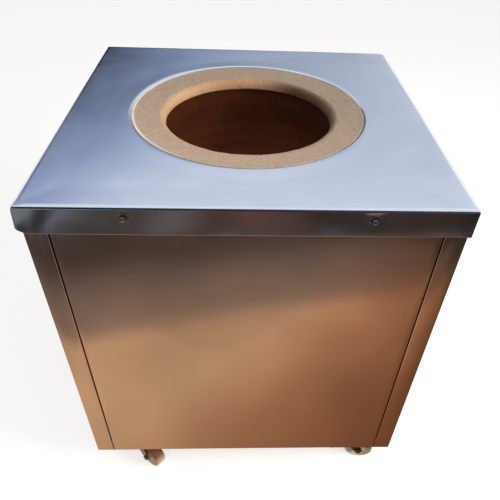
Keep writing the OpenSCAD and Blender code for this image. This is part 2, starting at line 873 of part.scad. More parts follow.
module fork(i) {
    color(ZINC) at_fork(i) difference() {
        union() {
            translate([0, 0, -crown_top - crown_t]) cylinder(r = crown_r, h = crown_t);
            for (side = [-1, 1])
                translate([0, side * (fork_gap + fork_t) / 2 + fork_t / 2, 0])
                    rotate([90, 0, 0]) linear_extrude(fork_t) fork_leg_outline();
        }
        ball_track(ball_drop, ball_d / 2 + run);
        translate([0, 0, -axle_drop]) cylinder(r = kingpin_r + run, h = axle_drop);
        translate([trail, crown_r * 2, -axle_drop]) rotate([90, 0, 0])
            cylinder(r = axle_r + run, h = 4 * crown_r);
    }
}

module wheel_bush(i) {
    color(ZINC) at_fork(i) translate([trail, (fork_gap - fit) / 2, -axle_drop]) rotate([90, 0, 0])
        difference() {
            cylinder(r = axle_r + bush_wall, h = fork_gap - fit);
            translate([0, 0, -1]) cylinder(r = axle_r + run, h = fork_gap + 2);
        }
}

// The axle: a hexagon bolt through both legs, with its locknut.
module axle_bolt(i) {
    reach = fork_gap / 2 + fork_t;
    nut_h = 1.6 * axle_r;
    color(ZINC) at_fork(i) translate([trail, 0, -axle_drop]) rotate([90, 0, 0]) {
        translate([0, 0, -reach - nut_h - 1]) cylinder(r = axle_r, h = 2 * reach + nut_h + 1);
        translate([0, 0, reach]) cylinder(r = 1.85 * axle_r, h = 1.3 * axle_r, $fn = 6);
        translate([0, 0, -reach - nut_h]) difference() {
            cylinder(r = 1.85 * axle_r, h = nut_h, $fn = 6);
            translate([0, 0, -1]) cylinder(r = axle_r + thread_fit, h = nut_h + 2);
        }
    }
}

// A moulded wheel: rounded tread, thin web with ribs, and a wide hub.
module wheel(i) {
    rim_r = wheel_r - tread_t;
    bore_r = axle_r + bush_wall + run;
    ribs = 6;
    rib_w = wheel_w - 2 * rib_inset;
    color(NYLON) at_fork(i) translate([trail, 0, -axle_drop]) rotate([90, 0, 0]) {
        rotate_extrude()
            polygon(concat(
                [[bore_r, -hub_w / 2], [hub_r, -hub_w / 2], [hub_r, -web_t / 2], [rim_r, -web_t / 2],
                    [rim_r, -wheel_w / 2]],
                arc(wheel_r - tread_round, -wheel_w / 2 + tread_round, tread_round, -90, 0, 4),
                arc(wheel_r - tread_round, wheel_w / 2 - tread_round, tread_round, 0, 90, 4),
                [[rim_r, wheel_w / 2], [rim_r, web_t / 2], [hub_r, web_t / 2], [hub_r, hub_w / 2],
                    [bore_r, hub_w / 2]]
            ));
        for (k = [0 : ribs - 1])
            rotate([0, 0, 360 * k / ribs])
                translate([hub_r - 1, -rib_t / 2, -rib_w / 2])
                    cube([rim_r - hub_r + 2, rib_t, rib_w]);
    }
}

deck();
deck_screws();
deck_washers();
left_side_panel();
right_side_panel();
front_panel();
back_panel();
base_frame();
top_frame();
corner_post(-1, -1);  // post_front_left
corner_post(1, -1);  // post_front_right
corner_post(-1, 1);  // post_back_left
corner_post(1, 1);  // post_back_right
base_plate();
castor_pads();
castor_bolts();
clay_pot();
mouth_collar();
hearth_tile();
fire_grate();
brick_bed();
wool_blanket();
insulation_fill();
draught_duct();
guide_upper();
guide_lower();
guide_rivets();
damper_door();
damper_knob();
knob_screw();
kingpins();
ball_races();
castor_plate(0);  // castor_plate_fl
fork(0);  // fork_fl
wheel_bush(0);  // wheel_bush_fl
axle_bolt(0);  // axle_bolt_fl
wheel(0);  // wheel_fl
castor_plate(1);  // castor_plate_fr
fork(1);  // fork_fr
wheel_bush(1);  // wheel_bush_fr
axle_bolt(1);  // axle_bolt_fr
wheel(1);  // wheel_fr
castor_plate(2);  // castor_plate_bl
fork(2);  // fork_bl
wheel_bush(2);  // wheel_bush_bl
axle_bolt(2);  // axle_bolt_bl
wheel(2);  // wheel_bl
castor_plate(3);  // castor_plate_br
fork(3);  // fork_br
wheel_bush(3);  // wheel_bush_br
axle_bolt(3);  // axle_bolt_br
wheel(3);  // wheel_br
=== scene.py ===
# %% [markdown]
# # A charcoal tandoor on castors
#
# The real oven is a clay pot packed in insulation inside a square cabinet of stainless sheet. The solid
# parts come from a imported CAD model, which is loaded first and stays where it is. This lesson dresses it:
# the parts that the eye lands on (the deck, the panels, the clay) are modelled again with the small faults
# that handmade sheet metal and fired clay have, and the rest keeps its CAD shape with rounded edges.

# %% Load the fixed frame
import json
import math

import bmesh
import bpy
from mathutils import Matrix, Vector, noise

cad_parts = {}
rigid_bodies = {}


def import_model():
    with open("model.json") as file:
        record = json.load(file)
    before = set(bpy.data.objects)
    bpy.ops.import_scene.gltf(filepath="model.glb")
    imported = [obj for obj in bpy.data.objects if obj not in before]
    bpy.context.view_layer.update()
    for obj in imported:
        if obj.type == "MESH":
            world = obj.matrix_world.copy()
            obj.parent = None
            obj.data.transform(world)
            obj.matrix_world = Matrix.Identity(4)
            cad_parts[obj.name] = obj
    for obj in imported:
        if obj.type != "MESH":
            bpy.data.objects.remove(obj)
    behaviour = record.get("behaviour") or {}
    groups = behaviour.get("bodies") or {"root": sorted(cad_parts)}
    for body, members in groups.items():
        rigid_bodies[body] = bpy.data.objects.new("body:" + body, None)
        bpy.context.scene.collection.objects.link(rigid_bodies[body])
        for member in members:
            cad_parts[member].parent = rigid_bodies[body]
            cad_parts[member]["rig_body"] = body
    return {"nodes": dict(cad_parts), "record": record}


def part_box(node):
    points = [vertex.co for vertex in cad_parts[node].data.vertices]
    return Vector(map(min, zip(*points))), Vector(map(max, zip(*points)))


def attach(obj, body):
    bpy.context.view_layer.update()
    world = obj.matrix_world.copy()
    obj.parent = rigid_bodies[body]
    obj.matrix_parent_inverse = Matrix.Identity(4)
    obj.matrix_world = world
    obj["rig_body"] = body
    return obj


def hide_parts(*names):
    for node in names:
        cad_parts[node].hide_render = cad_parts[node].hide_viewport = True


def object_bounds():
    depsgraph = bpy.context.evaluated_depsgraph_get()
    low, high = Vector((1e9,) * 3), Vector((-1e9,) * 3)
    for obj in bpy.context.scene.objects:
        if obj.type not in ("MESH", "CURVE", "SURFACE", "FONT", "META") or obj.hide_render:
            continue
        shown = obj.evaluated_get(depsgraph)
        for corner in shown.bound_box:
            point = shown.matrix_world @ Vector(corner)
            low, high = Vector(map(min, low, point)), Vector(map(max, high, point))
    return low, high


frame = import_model()
cad_low, cad_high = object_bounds()
print("CAD box, mm:", [round(1000 * v) for v in (*cad_low, *cad_high)])

# %% [markdown]
# ## Small helpers
#
# Blender works in metres and sheet metal in millimetres, so one function turns one into the other. The
# operators act on whatever is selected, so each step starts with nothing selected and then picks what it
# needs by place or by direction, as a hand would with the mouse.

# %% Units, selection and edit mode


def mm(value):
    """Millimetres as Blender's metres."""
    return value / 1000


def deselect_all():
    """Leaves edit mode and selects nothing."""
    if bpy.context.object and bpy.context.object.mode != "OBJECT":
        bpy.ops.object.mode_set(mode="OBJECT")
    bpy.ops.object.select_all(action="DESELECT")


def focus(piece):
    """Selects one object and makes it the active one."""
    deselect_all()
    piece.select_set(True)
    bpy.context.view_layer.objects.active = piece


def pick(kind, test):
    """In edit mode, selects only the VERT, EDGE or FACE elements that pass a test."""
    bpy.ops.mesh.select_mode(type=kind)
    bpy.ops.mesh.select_all(action="DESELECT")
    shape = bmesh.from_edit_mesh(bpy.context.object.data)
    elements = {"VERT": shape.verts, "EDGE": shape.edges, "FACE": shape.faces}[kind]
    for element in elements:
        if test(element):
            element.select_set(True)
    shape.select_flush_mode()
    bmesh.update_edit_mesh(bpy.context.object.data)


def all_verts(test):
    """A test for an edge or a face: true if each of its corners passes."""
    return lambda element: all(test(v.co) for v in element.verts)


def near(a, b, slack=mm(0.02)):
    """True if two lengths are the same, but for rounding."""
    return abs(a - b) < slack


def limit(share):
    """A share held between 0 and 1."""
    return min(1.0, max(0.0, share))


# %% Modifiers, vertex moves and hand-over


def apply_modifier(piece, kind, **settings):
    """Adds a modifier and applies it at once."""
    focus(piece)
    modifier = piece.modifiers.new(kind.title(), kind)
    for name, value in settings.items():
        setattr(modifier, name, value)
    bpy.ops.object.modifier_apply(modifier=modifier.name)


def move_vertices(piece, rule):
    """Moves each vertex by the offset that a rule gives for its place and normal."""
    offsets = [rule(v.co.copy(), v.normal.copy()) for v in piece.data.vertices]
    for vertex, offset in zip(piece.data.vertices, offsets):
        vertex.co += offset
    piece.data.update()


def smooth_noise(place, scale, seed):
    """Soft noise from -1 to 1, with features about one scale across."""
    return noise.noise(place / scale + Vector((seed, 2.3 * seed, 5.1 * seed)))


def round_off(piece, angle=35):
    """Smooth shading, with a crease where faces meet at more than an angle."""
    focus(piece)
    bpy.ops.object.shade_smooth_by_angle(angle=math.radians(angle))


def hand_over(piece, material, body, slot, *nodes):
    """Gives a finished piece its material and its body, and hides the CAD nodes that it stands for. The slot
    is not used.
    """
    deselect_all()
    piece.data.materials.clear()
    piece.data.materials.append(material)
    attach(piece, body)
    if nodes:
        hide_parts(*nodes)
    print(f"{piece.name}: {len(piece.data.polygons)} faces, rides on {body}")


# %% [markdown]
# ## Materials
#
# A metal's look comes from its base colour, from how rough it is, and above all from what it mirrors. A
# clay's comes from its colour and grain. Each material below is made of a Principled BSDF with a little
# noise, read from Object coordinates so that the pattern stays on the piece. One helper adds a node with its
# settings and its links, and colours are written as the eye sees them, in sRGB hex, then turned to linear.

# %% The colour helper and the node helpers


def srgb(code):
    """A colour such as "#BCA58C" as the linear RGBA that Blender's sockets take."""
    channels = [int(code[i:i + 2], 16) / 255 for i in (1, 3, 5)]
    linear = [c / 12.92 if c <= 0.04045 else ((c + 0.055) / 1.055) ** 2.4 for c in channels]
    return (*linear, 1.0)


def plug(node, inputs):
    """Gives a node its inputs: a value, an output, or a node, which stands for its first output in use."""
    for key, value in inputs.items():
        if isinstance(value, bpy.types.Node):
            value = next(output for output in value.outputs if output.enabled)
        if isinstance(value, bpy.types.NodeSocket):
            node.id_data.links.new(value, node.inputs[key])
        else:
            node.inputs[key].default_value = value


def add_node(tree, kind, inputs=None, stops=(), **settings):
    """Adds a node with its settings and inputs. A colour ramp's stops are (position, hex colour)."""
    made = tree.nodes.new(kind)
    for name, value in settings.items():
        setattr(made, name, value)
    for _ in stops[2:]:
        made.color_ramp.elements.new(0.5)
    if stops:
        for element, (position, code) in zip(made.color_ramp.elements, stops):
            element.position = position
            element.color = srgb(code)
    plug(made, inputs or {})
    return made


# The sockets for the two colours of a Mix node, which has several with the same names
MIX_A, MIX_B = 6, 7

# %% A new material


def new_material(name):
    """An empty material with its output and Principled BSDF: returns it, its tree and the shader."""
    material = bpy.data.materials.new(name)
    material.use_nodes = True
    tree = material.node_tree
    tree.nodes.clear()
    shader = add_node(tree, "ShaderNodeBsdfPrincipled")
    add_node(tree, "ShaderNodeOutputMaterial", {"Surface": shader})
    print(f"new material: {name}")
    return material, tree, shader


def shader_of(material):
    """A material's Principled BSDF."""
    return next(node for node in material.node_tree.nodes if node.type == "BSDF_PRINCIPLED")


# %% [markdown]
# ### Stainless sheet
#
# The casing is thin 304 sheet as it comes from the mill, with the dull 2B finish: it mirrors its surroundings
# as soft, smeared patches. Wiping and handling leave cloudy areas that are a little rougher than the rest, so
# noise at the size of a hand drives the roughness. The deck is a cooler grey than the panels, which have a
# warm cast: partly from heat and smoke, and partly a painted reflection, the blue of the sky in the deck's
# grey and the warm ground in the panels'. Its top is scoured with every cleaning, while the skirt has kept
# the smoother skin of new sheet, so the same steel gets a lower roughness below the bend.

# %% Stainless sheet for the deck and the panels
hand_smear = mm(140)
# Rolling lines are hundredths of a millimetre apart, so they are drawn coarser to show at all
rolling_lines = mm(2.5)


def stainless(name, clean, wiped, dull, bright):
    """Mill-finish stainless: two close greys, a smeared roughness, and faint rolling lines."""
    material, tree, shader = new_material(name)
    place = add_node(tree, "ShaderNodeTexCoord").outputs["Object"]
    smears = add_node(tree, "ShaderNodeTexNoise", {"Vector": place, "Scale": 1 / hand_smear, "Detail": 3.0,
                                                   "Roughness": 0.55, "Distortion": 0.6})
    colour = add_node(tree, "ShaderNodeMix", {0: smears, MIX_A: srgb(clean), MIX_B: srgb(wiped)},
                      data_type="RGBA")
    rough = add_node(tree, "ShaderNodeMapRange", {"Value": smears, "From Min": 0.3, "From Max": 0.7,
                                                  "To Min": bright, "To Max": dull})
    stretch = add_node(tree, "ShaderNodeMapping", {"Vector": place, "Scale": (0.04, 1.0, 1.0)})
    lines = add_node(tree, "ShaderNodeTexNoise", {"Vector": stretch, "Scale": 1 / rolling_lines,
                                                  "Detail": 2.0})
    bump = add_node(tree, "ShaderNodeBump", {"Height": lines, "Strength": 0.03, "Distance": mm(0.15)})
    plug(shader, {"Base Color": colour, "Roughness": rough, "Normal": bump, "Metallic": 1.0})
    return material


def smooth_below(material, height, share):
    """Makes a metal's roughness a share of what it was below a height."""
    tree = material.node_tree
    shader = shader_of(material)
    before = shader.inputs["Roughness"].links[0].from_socket
    place = add_node(tree, "ShaderNodeTexCoord").outputs["Object"]
    where = add_node(tree, "ShaderNodeSeparateXYZ", {"Vector": place}).outputs
    less = add_node(tree, "ShaderNodeMapRange", {"Value": where["Z"], "From Min": height - mm(3),
                                                 "From Max": height, "To Min": share})
    plug(shader, {"Roughness": add_node(tree, "ShaderNodeMath", {0: before, 1: less}, operation="MULTIPLY")})


# The base greys are partly painted reflection: sky blue in the deck's, warm ground in the panels'
deck_steel = stainless("stainless_deck", "#C4CAD3", "#B8BFCB", 0.24, 0.15)
smooth_below(deck_steel, cad_high.z - mm(2), 0.45)
panel_steel = stainless("stainless_panel", "#BCB1A6", "#B0A497", 0.17, 0.10)

# %% [markdown]
# ### Zinc plate, primer and cast iron
#
# The castors and screws are pressed steel with bright zinc plating, which has a faint blotchy spangle. On the
# deck's screws it is drawn in small bright and dark spots: a painted reflection, for the highlights and the
# dark surroundings that the heads mirror. The frame is black mild steel in grey primer, and the grate is
# sand-cast iron with a coarse, sooty skin.

# %% Zinc-plated steel, primer and cast iron


def blotchy(name, light, dark, scale_mm, rough, metal, bump_mm):
    """A finish of two colours in soft blotches, with a bump of the same pattern."""
    material, tree, shader = new_material(name)
    place = add_node(tree, "ShaderNodeTexCoord").outputs["Object"]
    blotches = add_node(tree, "ShaderNodeTexNoise", {"Vector": place, "Scale": 1 / mm(scale_mm),
                                                     "Detail": 6.0, "Roughness": 0.6})
    colour = add_node(tree, "ShaderNodeMix", {0: blotches, MIX_A: srgb(light), MIX_B: srgb(dark)},
                      data_type="RGBA")
    bump = add_node(tree, "ShaderNodeBump", {"Height": blotches, "Strength": 0.4, "Distance": mm(bump_mm)})
    plug(shader, {"Base Color": colour, "Roughness": rough, "Metallic": metal, "Normal": bump})
    return material


zinc_plate = blotchy("zinc_plated_steel", "#A6A6A4", "#6A6864", 6, 0.38, 1.0, 0.05)
# Painted reflection: bright and dark spots on the deck's screws and washers
zinc_with_painted_reflections = blotchy("zinc_plate_with_painted_reflections", "#D8D0CA", "#2E2826", 3, 0.16, 1.0, 0.05)
primer = blotchy("primed_mild_steel", "#55585C", "#3B3D41", 30, 0.55, 0.0, 0.1)
cast_iron = blotchy("sooty_cast_iron", "#3F3B38", "#191716", 5, 0.72, 0.6, 0.6)

# %% [markdown]
# ### Clay, brick and insulation
#
# The collar is fireclay with sand in it, rubbed smooth by hand: pale grains and darker pits in a tan body.
# The sand is about half a millimetre, and is drawn at three so that a few pixels can hold it. Bricks, ceramic
# wool and loose vermiculite are hidden, but each still gets its own look from the same function.

# %% Sandy clay, brick and fill


def grainy(name, body, pale, dark, grain_mm, bump_mm):
    """Sandy clay: a mottled body, pale grains, dark pits and a bump that follows them."""
    material, tree, shader = new_material(name)
    place = add_node(tree, "ShaderNodeTexCoord").outputs["Object"]
    mottle = add_node(tree, "ShaderNodeTexNoise", {"Vector": place, "Scale": 1 / mm(45), "Detail": 4.0})
    grain = add_node(tree, "ShaderNodeTexNoise", {"Vector": place, "Scale": 1 / mm(grain_mm), "Detail": 5.0,
                                                  "Roughness": 0.7})
    pits = add_node(tree, "ShaderNodeTexVoronoi", {"Vector": place, "Scale": 1 / mm(2.5 * grain_mm)})
    some_mottle = add_node(tree, "ShaderNodeMath", {0: mottle, 1: 0.55}, operation="MULTIPLY")
    pale_part = add_node(tree, "ShaderNodeMapRange", {"Value": grain, "From Min": 0.4, "From Max": 0.72})
    dark_part = add_node(tree, "ShaderNodeMapRange", {"Value": pits, "From Min": 0.28, "From Max": 0.1})
    half_dark = add_node(tree, "ShaderNodeMath", {0: dark_part, 1: 0.5}, operation="MULTIPLY")
    colour = srgb(body)
    for part, code in ((some_mottle, dark), (pale_part, pale), (half_dark, dark)):
        colour = add_node(tree, "ShaderNodeMix", {0: part, MIX_A: colour, MIX_B: srgb(code)},
                          data_type="RGBA")
    bump = add_node(tree, "ShaderNodeBump", {"Height": grain, "Strength": 0.7, "Distance": mm(bump_mm)})
    plug(shader, {"Base Color": colour, "Roughness": 0.95, "Normal": bump})
    return material


fireclay = grainy("fireclay_sanded", "#C4AA95", "#DECCBA", "#907866", 3.0, 0.8)
firebrick = grainy("firebrick", "#C3A272", "#E0C8A0", "#8A6A42", 4.0, 0.6)
ceramic_wool = grainy("ceramic_wool", "#E6E2D8", "#F5F2EA", "#CFCABE", 9.0, 2.5)
vermiculite = grainy("vermiculite_fill", "#B99C63", "#DCC690", "#7A6238", 7.0, 3.0)

# %% [markdown]
# ### Ash, fire, soot and lime on the collar
#
# The ring isn't one colour. The rear of its top is greyer, a little more so on the right, and fire has baked
# its throat orange. The rear and the right of the throat are darker as painted shade, where the throat faces
# away from the light, and at the left a pale line along the joint to the steel is a painted highlight of the
# steel's bend. They could be painted by hand, but here each tint is a share from 0 to 1, worked out from the
# place on the ring in millimetres, that blends one more colour over the clay.

# %% Blend a colour over a material


def tint(material, factor, code, blend="MULTIPLY"):
    """Blends a material's colour with another one, as far as a factor from 0 to 1 says."""
    shader = shader_of(material)
    before = shader.inputs["Base Color"].links[0].from_socket
    plug(shader, {"Base Color": add_node(material.node_tree, "ShaderNodeMix", {
        0: factor, MIX_A: before, MIX_B: srgb(code)}, data_type="RGBA", blend_type=blend)})


# %% Tint the collar, with painted shade and a painted highlight
tree = fireclay.node_tree
place = add_node(tree, "ShaderNodeTexCoord").outputs["Object"]
where = add_node(tree, "ShaderNodeSeparateXYZ", {"Vector": place}).outputs
flat = add_node(tree, "ShaderNodeCombineXYZ", {"X": where["X"], "Y": where["Y"]})
radius = add_node(tree, "ShaderNodeVectorMath", {0: flat}, operation="LENGTH")
in_throat = add_node(tree, "ShaderNodeMapRange", {"Value": radius, "From Min": mm(200), "From Max": mm(180)},
                     interpolation_type="SMOOTHSTEP")
on_top = add_node(tree, "ShaderNodeMath", {0: 1.0, 1: in_throat}, operation="SUBTRACT")
at_joint = add_node(tree, "ShaderNodeMapRange", {"Value": radius, "From Min": mm(244), "From Max": mm(247)})
backwards = add_node(tree, "ShaderNodeMath", {0: where["X"], 1: 0.3, 2: where["Y"]}, operation="MULTIPLY_ADD")


def tint_part(part, value, start, end, code, blend="MULTIPLY"):
    """Tints one part of the collar: not at all where a value is at its start, and fully at its end."""
    share = add_node(tree, "ShaderNodeMapRange", {"Value": value, "From Min": start, "From Max": end})
    tint(fireclay, add_node(tree, "ShaderNodeMath", {0: share, 1: part}, operation="MULTIPLY"), code, blend)


# Greyer rear of the top, baked throat, painted shade on the rear and right of the throat, painted highlight
# at the left joint
rear_grey, baked, painted_shade_rear, painted_shade_right, painted_highlight_left = "#D8DDDF", "#FFF6E0", "#E2D2D2", "#8C8478", "#E9E6E3"
# Greyer towards the rear of the top, and a little towards the right
tint_part(on_top, backwards, mm(-350), mm(120), rear_grey)
tint(fireclay, in_throat, baked)
# Painted shade: the rear of the throat darker
tint_part(in_throat, backwards, mm(60), mm(160), painted_shade_rear)
# Painted shade: the right of the throat darker
tint_part(in_throat, where["X"], mm(35), mm(110), painted_shade_right)
# Painted highlight: a pale line along the left joint, for the highlight on the steel's bend
tint_part(at_joint, where["X"], mm(-110), mm(-215), painted_highlight_left, "MIX")
print(f"{fireclay.name}: {len(tree.nodes)} nodes with its tints")

# %% [markdown]
# ### Smoked clay, with painted light
#
# The pot is a red clay. Low down, where the fire burns it clean, its own red shows, and just under the mouth
# smoke has turned it nearly black. The colour also holds painted light: it is lighter deep down, where little
# light reaches, and darker under the mouth, where the lamps reach in. Burnt patches run over both.

# %% Smoked clay with painted light for the pot
red_and_lightened_up_to = mm(560)
smoked_and_shaded_from = mm(760)


def smoked_clay_with_painted_light(name, smoke_and_shade, red, burnt):
    """Clay that is red low down and dark from smoke under the mouth, painted lighter deep down and darker at
    the top to even out the light, with burnt patches and a fine grain.
    """
    material, tree, shader = new_material(name)
    place = add_node(tree, "ShaderNodeTexCoord").outputs["Object"]
    where = add_node(tree, "ShaderNodeSeparateXYZ", {"Vector": place}).outputs
    streaks = add_node(tree, "ShaderNodeTexNoise", {"Vector": place, "Scale": 1 / mm(60), "Detail": 6.0,
                                                    "Roughness": 0.65})
    grain = add_node(tree, "ShaderNodeTexNoise", {"Vector": place, "Scale": 1 / mm(5), "Detail": 4.0})
    # Painted light: from the lightened red low down to the darkened colour under the mouth
    rise = add_node(tree, "ShaderNodeMapRange", {"Value": where["Z"], "From Min": red_and_lightened_up_to,
                                                 "From Max": smoked_and_shaded_from})
    patch = add_node(tree, "ShaderNodeMapRange", {"Value": streaks, "From Min": 0.45, "From Max": 0.75,
                                                  "To Max": 0.6})
    colour = srgb(red)
    for part, code in ((rise, smoke_and_shade), (patch, burnt)):
        colour = add_node(tree, "ShaderNodeMix", {0: part, MIX_A: colour, MIX_B: srgb(code)},
                          data_type="RGBA")
    bump = add_node(tree, "ShaderNodeBump", {"Height": grain, "Strength": 0.6, "Distance": mm(1.0)})
    plug(shader, {"Base Color": colour, "Roughness": 0.9, "Specular IOR Level": 0.15, "Normal": bump})
    return material


pot_clay = smoked_clay_with_painted_light("smoked_red_clay_with_painted_light", "#462416", "#985438", "#643424")

# %% [markdown]
# ### Plastics
#
# The wheels are moulded nylon that has gone cream. Their upper part is painted darker brown as painted shade,
# for the shadow under the cabinet, so a tint grows with the height on the wheel at rest.
# The damper's knob is black phenolic, the hard plastic of pan handles, which is glossy.

# %% Cream nylon and black phenolic
nylon = blotchy("cream_nylon", "#EEDFCB", "#BCA48C", 14, 0.45, 0.0, 0.15)
tree = nylon.node_tree
place = add_node(tree, "ShaderNodeTexCoord").outputs["Object"]
where = add_node(tree, "ShaderNodeSeparateXYZ", {"Vector": place}).outputs
# Painted shade: brown that grows with the height on the wheel
painted_shade_up_high = add_node(tree, "ShaderNodeMapRange", {"Value": where["Z"], "From Min": mm(32), "From Max": mm(58)})
tint(nylon, painted_shade_up_high, "#866250")
phenolic = blotchy("black_phenolic", "#161514", "#0C0B0B", 20, 0.22, 0.0, 0.02)

# %% [markdown]
# ## The deck
#
# The deck is one sheet: a square tray turned upside down, with a round opening whose edge is turned down, and
# a skirt whose bottom edge is folded back on itself. It could be a box with a boolean hole, but then its
# faces would be flat and its bends sharp. Here a circle is extruded outwards to the square and down into the
# skirt, so the faces flow round the opening and can be pushed into the slight waves of thin sheet.

# %% Deck sizes, read from the frame
deck_low, deck_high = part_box("deck")
collar_low, collar_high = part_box("mouth_collar")
deck_half = deck_high.x
deck_top = deck_high.z
skirt_low = deck_low.z
sheet = mm(1.5)
bend = mm(4.5)
fold_strip = mm(1.6)
opening_radius = collar_high.y + mm(1.5)
opening_turn = mm(18)
hem = mm(8)
deck_sides = 320
print(f"deck {2000 * deck_half:.0f} mm square, opening {2000 * opening_radius:.0f} mm across")

# %% Draw the sheet from the opening outwards


def to_square(place, half):
    """Moves a point along its ray from the middle until it is on the square."""
    reach = half / max(abs(place.x), abs(place.y))
    return Vector((place.x * reach, place.y * reach, place.z))


deselect_all()
bpy.ops.mesh.primitive_circle_add(vertices=deck_sides, radius=opening_radius, location=(0, 0, deck_top))
deck = bpy.context.object
deck.name = "deck_sheet"
bpy.ops.object.transform_apply(location=True, rotation=True, scale=True)
bpy.ops.object.mode_set(mode="EDIT")
bpy.ops.mesh.select_all(action="SELECT")
bpy.ops.mesh.extrude_region_move(TRANSFORM_OT_translate={"value": (0, 0, 0)})
rim = bmesh.from_edit_mesh(deck.data)
for vertex in rim.verts:
    if vertex.select:
        vertex.co = to_square(vertex.co, deck_half)
bmesh.update_edit_mesh(deck.data)
print(f"{deck.name}: {len(rim.faces)} faces from the opening out to the square")

# %% Rings in the top, then the skirt, its hem and the opening's turned edge


def crosses_top(edge):
    """True for an edge that runs from the opening to the square."""
    radii = sorted(v.co.xy.length for v in edge.verts)
    return near(radii[0], opening_radius) and radii[1] > opening_radius + bend


def on_square(place):
    """True for a point on the deck's outer square."""
    return near(max(abs(place.x), abs(place.y)), deck_half)


top_rings = 16
skirt_rings = 9
corner_rings = 2
flare_width = mm(30)

pick("EDGE", crosses_top)
bpy.ops.mesh.subdivide(number_cuts=top_rings)
pick("EDGE", all_verts(on_square))
bpy.ops.mesh.extrude_region_move(TRANSFORM_OT_translate={"value": (0, 0, skirt_low + fold_strip - deck_top)})
pick("EDGE", lambda e: on_square(e.verts[0].co) and not near(e.verts[0].co.z, e.verts[1].co.z))
bpy.ops.mesh.subdivide(number_cuts=skirt_rings)
# The corner that will be knocked out of shape needs closer rings
pick("EDGE", all_verts(lambda p: on_square(p) and p.z < deck_top - mm(1)
                       and max(p.x, p.y) < flare_width - deck_half))
bpy.ops.mesh.subdivide(number_cuts=corner_rings)
pick("EDGE", all_verts(lambda p: on_square(p) and near(p.z, skirt_low + fold_strip)))
bpy.ops.mesh.extrude_region_move(TRANSFORM_OT_translate={"value": (0, 0, -fold_strip)})
# The hem lies two thicknesses in, and a hair more so that it doesn't touch the skirt
fold = (deck_half - 2.05 * sheet) / deck_half
pick("EDGE", all_verts(lambda p: on_square(p) and near(p.z, skirt_low)))
bpy.ops.mesh.extrude_region_move(TRANSFORM_OT_translate={"value": (0, 0, 0)})
bpy.ops.transform.resize(value=(fold, fold, 1), center_override=(0, 0, 0))
bpy.ops.mesh.extrude_region_move(TRANSFORM_OT_translate={"value": (0, 0, hem)})
pick("EDGE", all_verts(lambda p: near(p.xy.length, opening_radius)))
bpy.ops.mesh.extrude_region_move(TRANSFORM_OT_translate={"value": (0, 0, -opening_turn)})
print(f"skirt {1000 * (deck_top - skirt_low):.0f} mm high, hem {1000 * hem:.0f} mm")

# %% Round the bends


def sharp(edge):
    """True where the two faces of an edge meet at nearly a right angle."""
    return len(edge.link_faces) == 2 and edge.calc_face_angle() > math.radians(60)


pick("EDGE", lambda e: sharp(e) and all(p.co.z > skirt_low + mm(1) or on_square(p.co) for p in e.verts)
     and not all(near(p.co.z, skirt_low) for p in e.verts))
bpy.ops.mesh.bevel(offset=bend, offset_type="OFFSET", segments=4, profile=0.5, affect="EDGES")
pick("EDGE", all_verts(lambda p: near(p.z, skirt_low) and max(abs(p.x), abs(p.y)) > deck_half - mm(1.5)))
bpy.ops.mesh.bevel(offset=mm(0.8), offset_type="OFFSET", segments=4, profile=0.5, affect="EDGES")
bpy.ops.mesh.select_all(action="SELECT")
bpy.ops.mesh.normals_make_consistent(inside=False)
bpy.ops.object.mode_set(mode="OBJECT")
print(f"{deck.name}: {len(deck.data.polygons)} faces before it gets its thickness")

# %% [markdown]
# Thin sheet never lies flat. The top sags a little between its bends, the skirt waves in and out along its
# bottom edge, each screw has pulled a shallow dimple into it, and at the front left corner somebody has
# knocked the skirt outwards and rounded its lower corner off. Each of these is a smooth rule that moves the
# vertices by a millimetre or so.

# %% Push the waves, the dimples and the knocked corner into the sheet
screw_z = deck_top - mm(20)
screw_reach = mm(206)
sag_depth = mm(0.9)
wave_depth = mm(1.3)
ripple_depth = mm(0.5)
dimple_depth = mm(0.7)
dimple_radius = mm(13)
flare = mm(5.2)
flare_length = mm(110)
corner_radius = mm(20)
corner_height = mm(15)


def sheet_faults(place, normal):
    """The offset of one point of the deck: sag, waves in the skirt, dimples and the knocked corner."""
    edge = max(abs(place.x), abs(place.y))
    from_edge = limit((deck_half - edge) / mm(60))
    from_opening = limit((place.xy.length - opening_radius) / mm(40))
    offset = Vector((0, 0, 0))
    if near(place.z, deck_top, mm(0.1)):
        sag = 0.55 + 0.45 * smooth_noise(place, mm(170), 3.0)
        offset.z -= sag_depth * from_edge * from_opening * sag
    down = limit((deck_top - bend - place.z) / (deck_top - skirt_low))
    if down > 0 and edge > deck_half - mm(6):
        wave = wave_depth * down * (0.5 + 0.5 * smooth_noise(place, mm(120), 7.0))
        wave += ripple_depth * down * max(0.0, smooth_noise(place, mm(45), 17.0))
        axis = 0 if abs(place.x) > abs(place.y) else 1
        from_screw = Vector((abs(place[1 - axis]) - screw_reach, place.z - screw_z)).length
        wave += dimple_depth * math.exp(-(from_screw / dimple_radius) ** 2)
        from_bend = (deck_half - bend - abs(place[1 - axis])) / mm(15)
        offset[axis] -= math.copysign(wave * limit(from_bend), place[axis])
        along = (place.y + deck_half) / flare_length
        beside = 1 - (place.x + deck_half) / flare_width
        if beside > 0 and along < 1:
            offset.x -= flare * down ** 0.5 * beside * (1 - along) ** 2
        offset.z += corner_lift(place, down)
    return offset


def corner_lift(place, down):
    """How far the rounded lower corner at the front left lies above a square one."""
    from_corner = max(place.x + deck_half, place.y + deck_half)
    if from_corner > corner_radius or down < 0.5:
        return 0.0
    share = 1 - from_corner / corner_radius
    return corner_height * share ** 2 * (down - 0.5) / 0.5


move_vertices(deck, sheet_faults)
apply_modifier(deck, "SOLIDIFY", thickness=sheet, offset=-1.0)
round_off(deck)
hand_over(deck, deck_steel, "cabinet", "deck_steel", "deck")

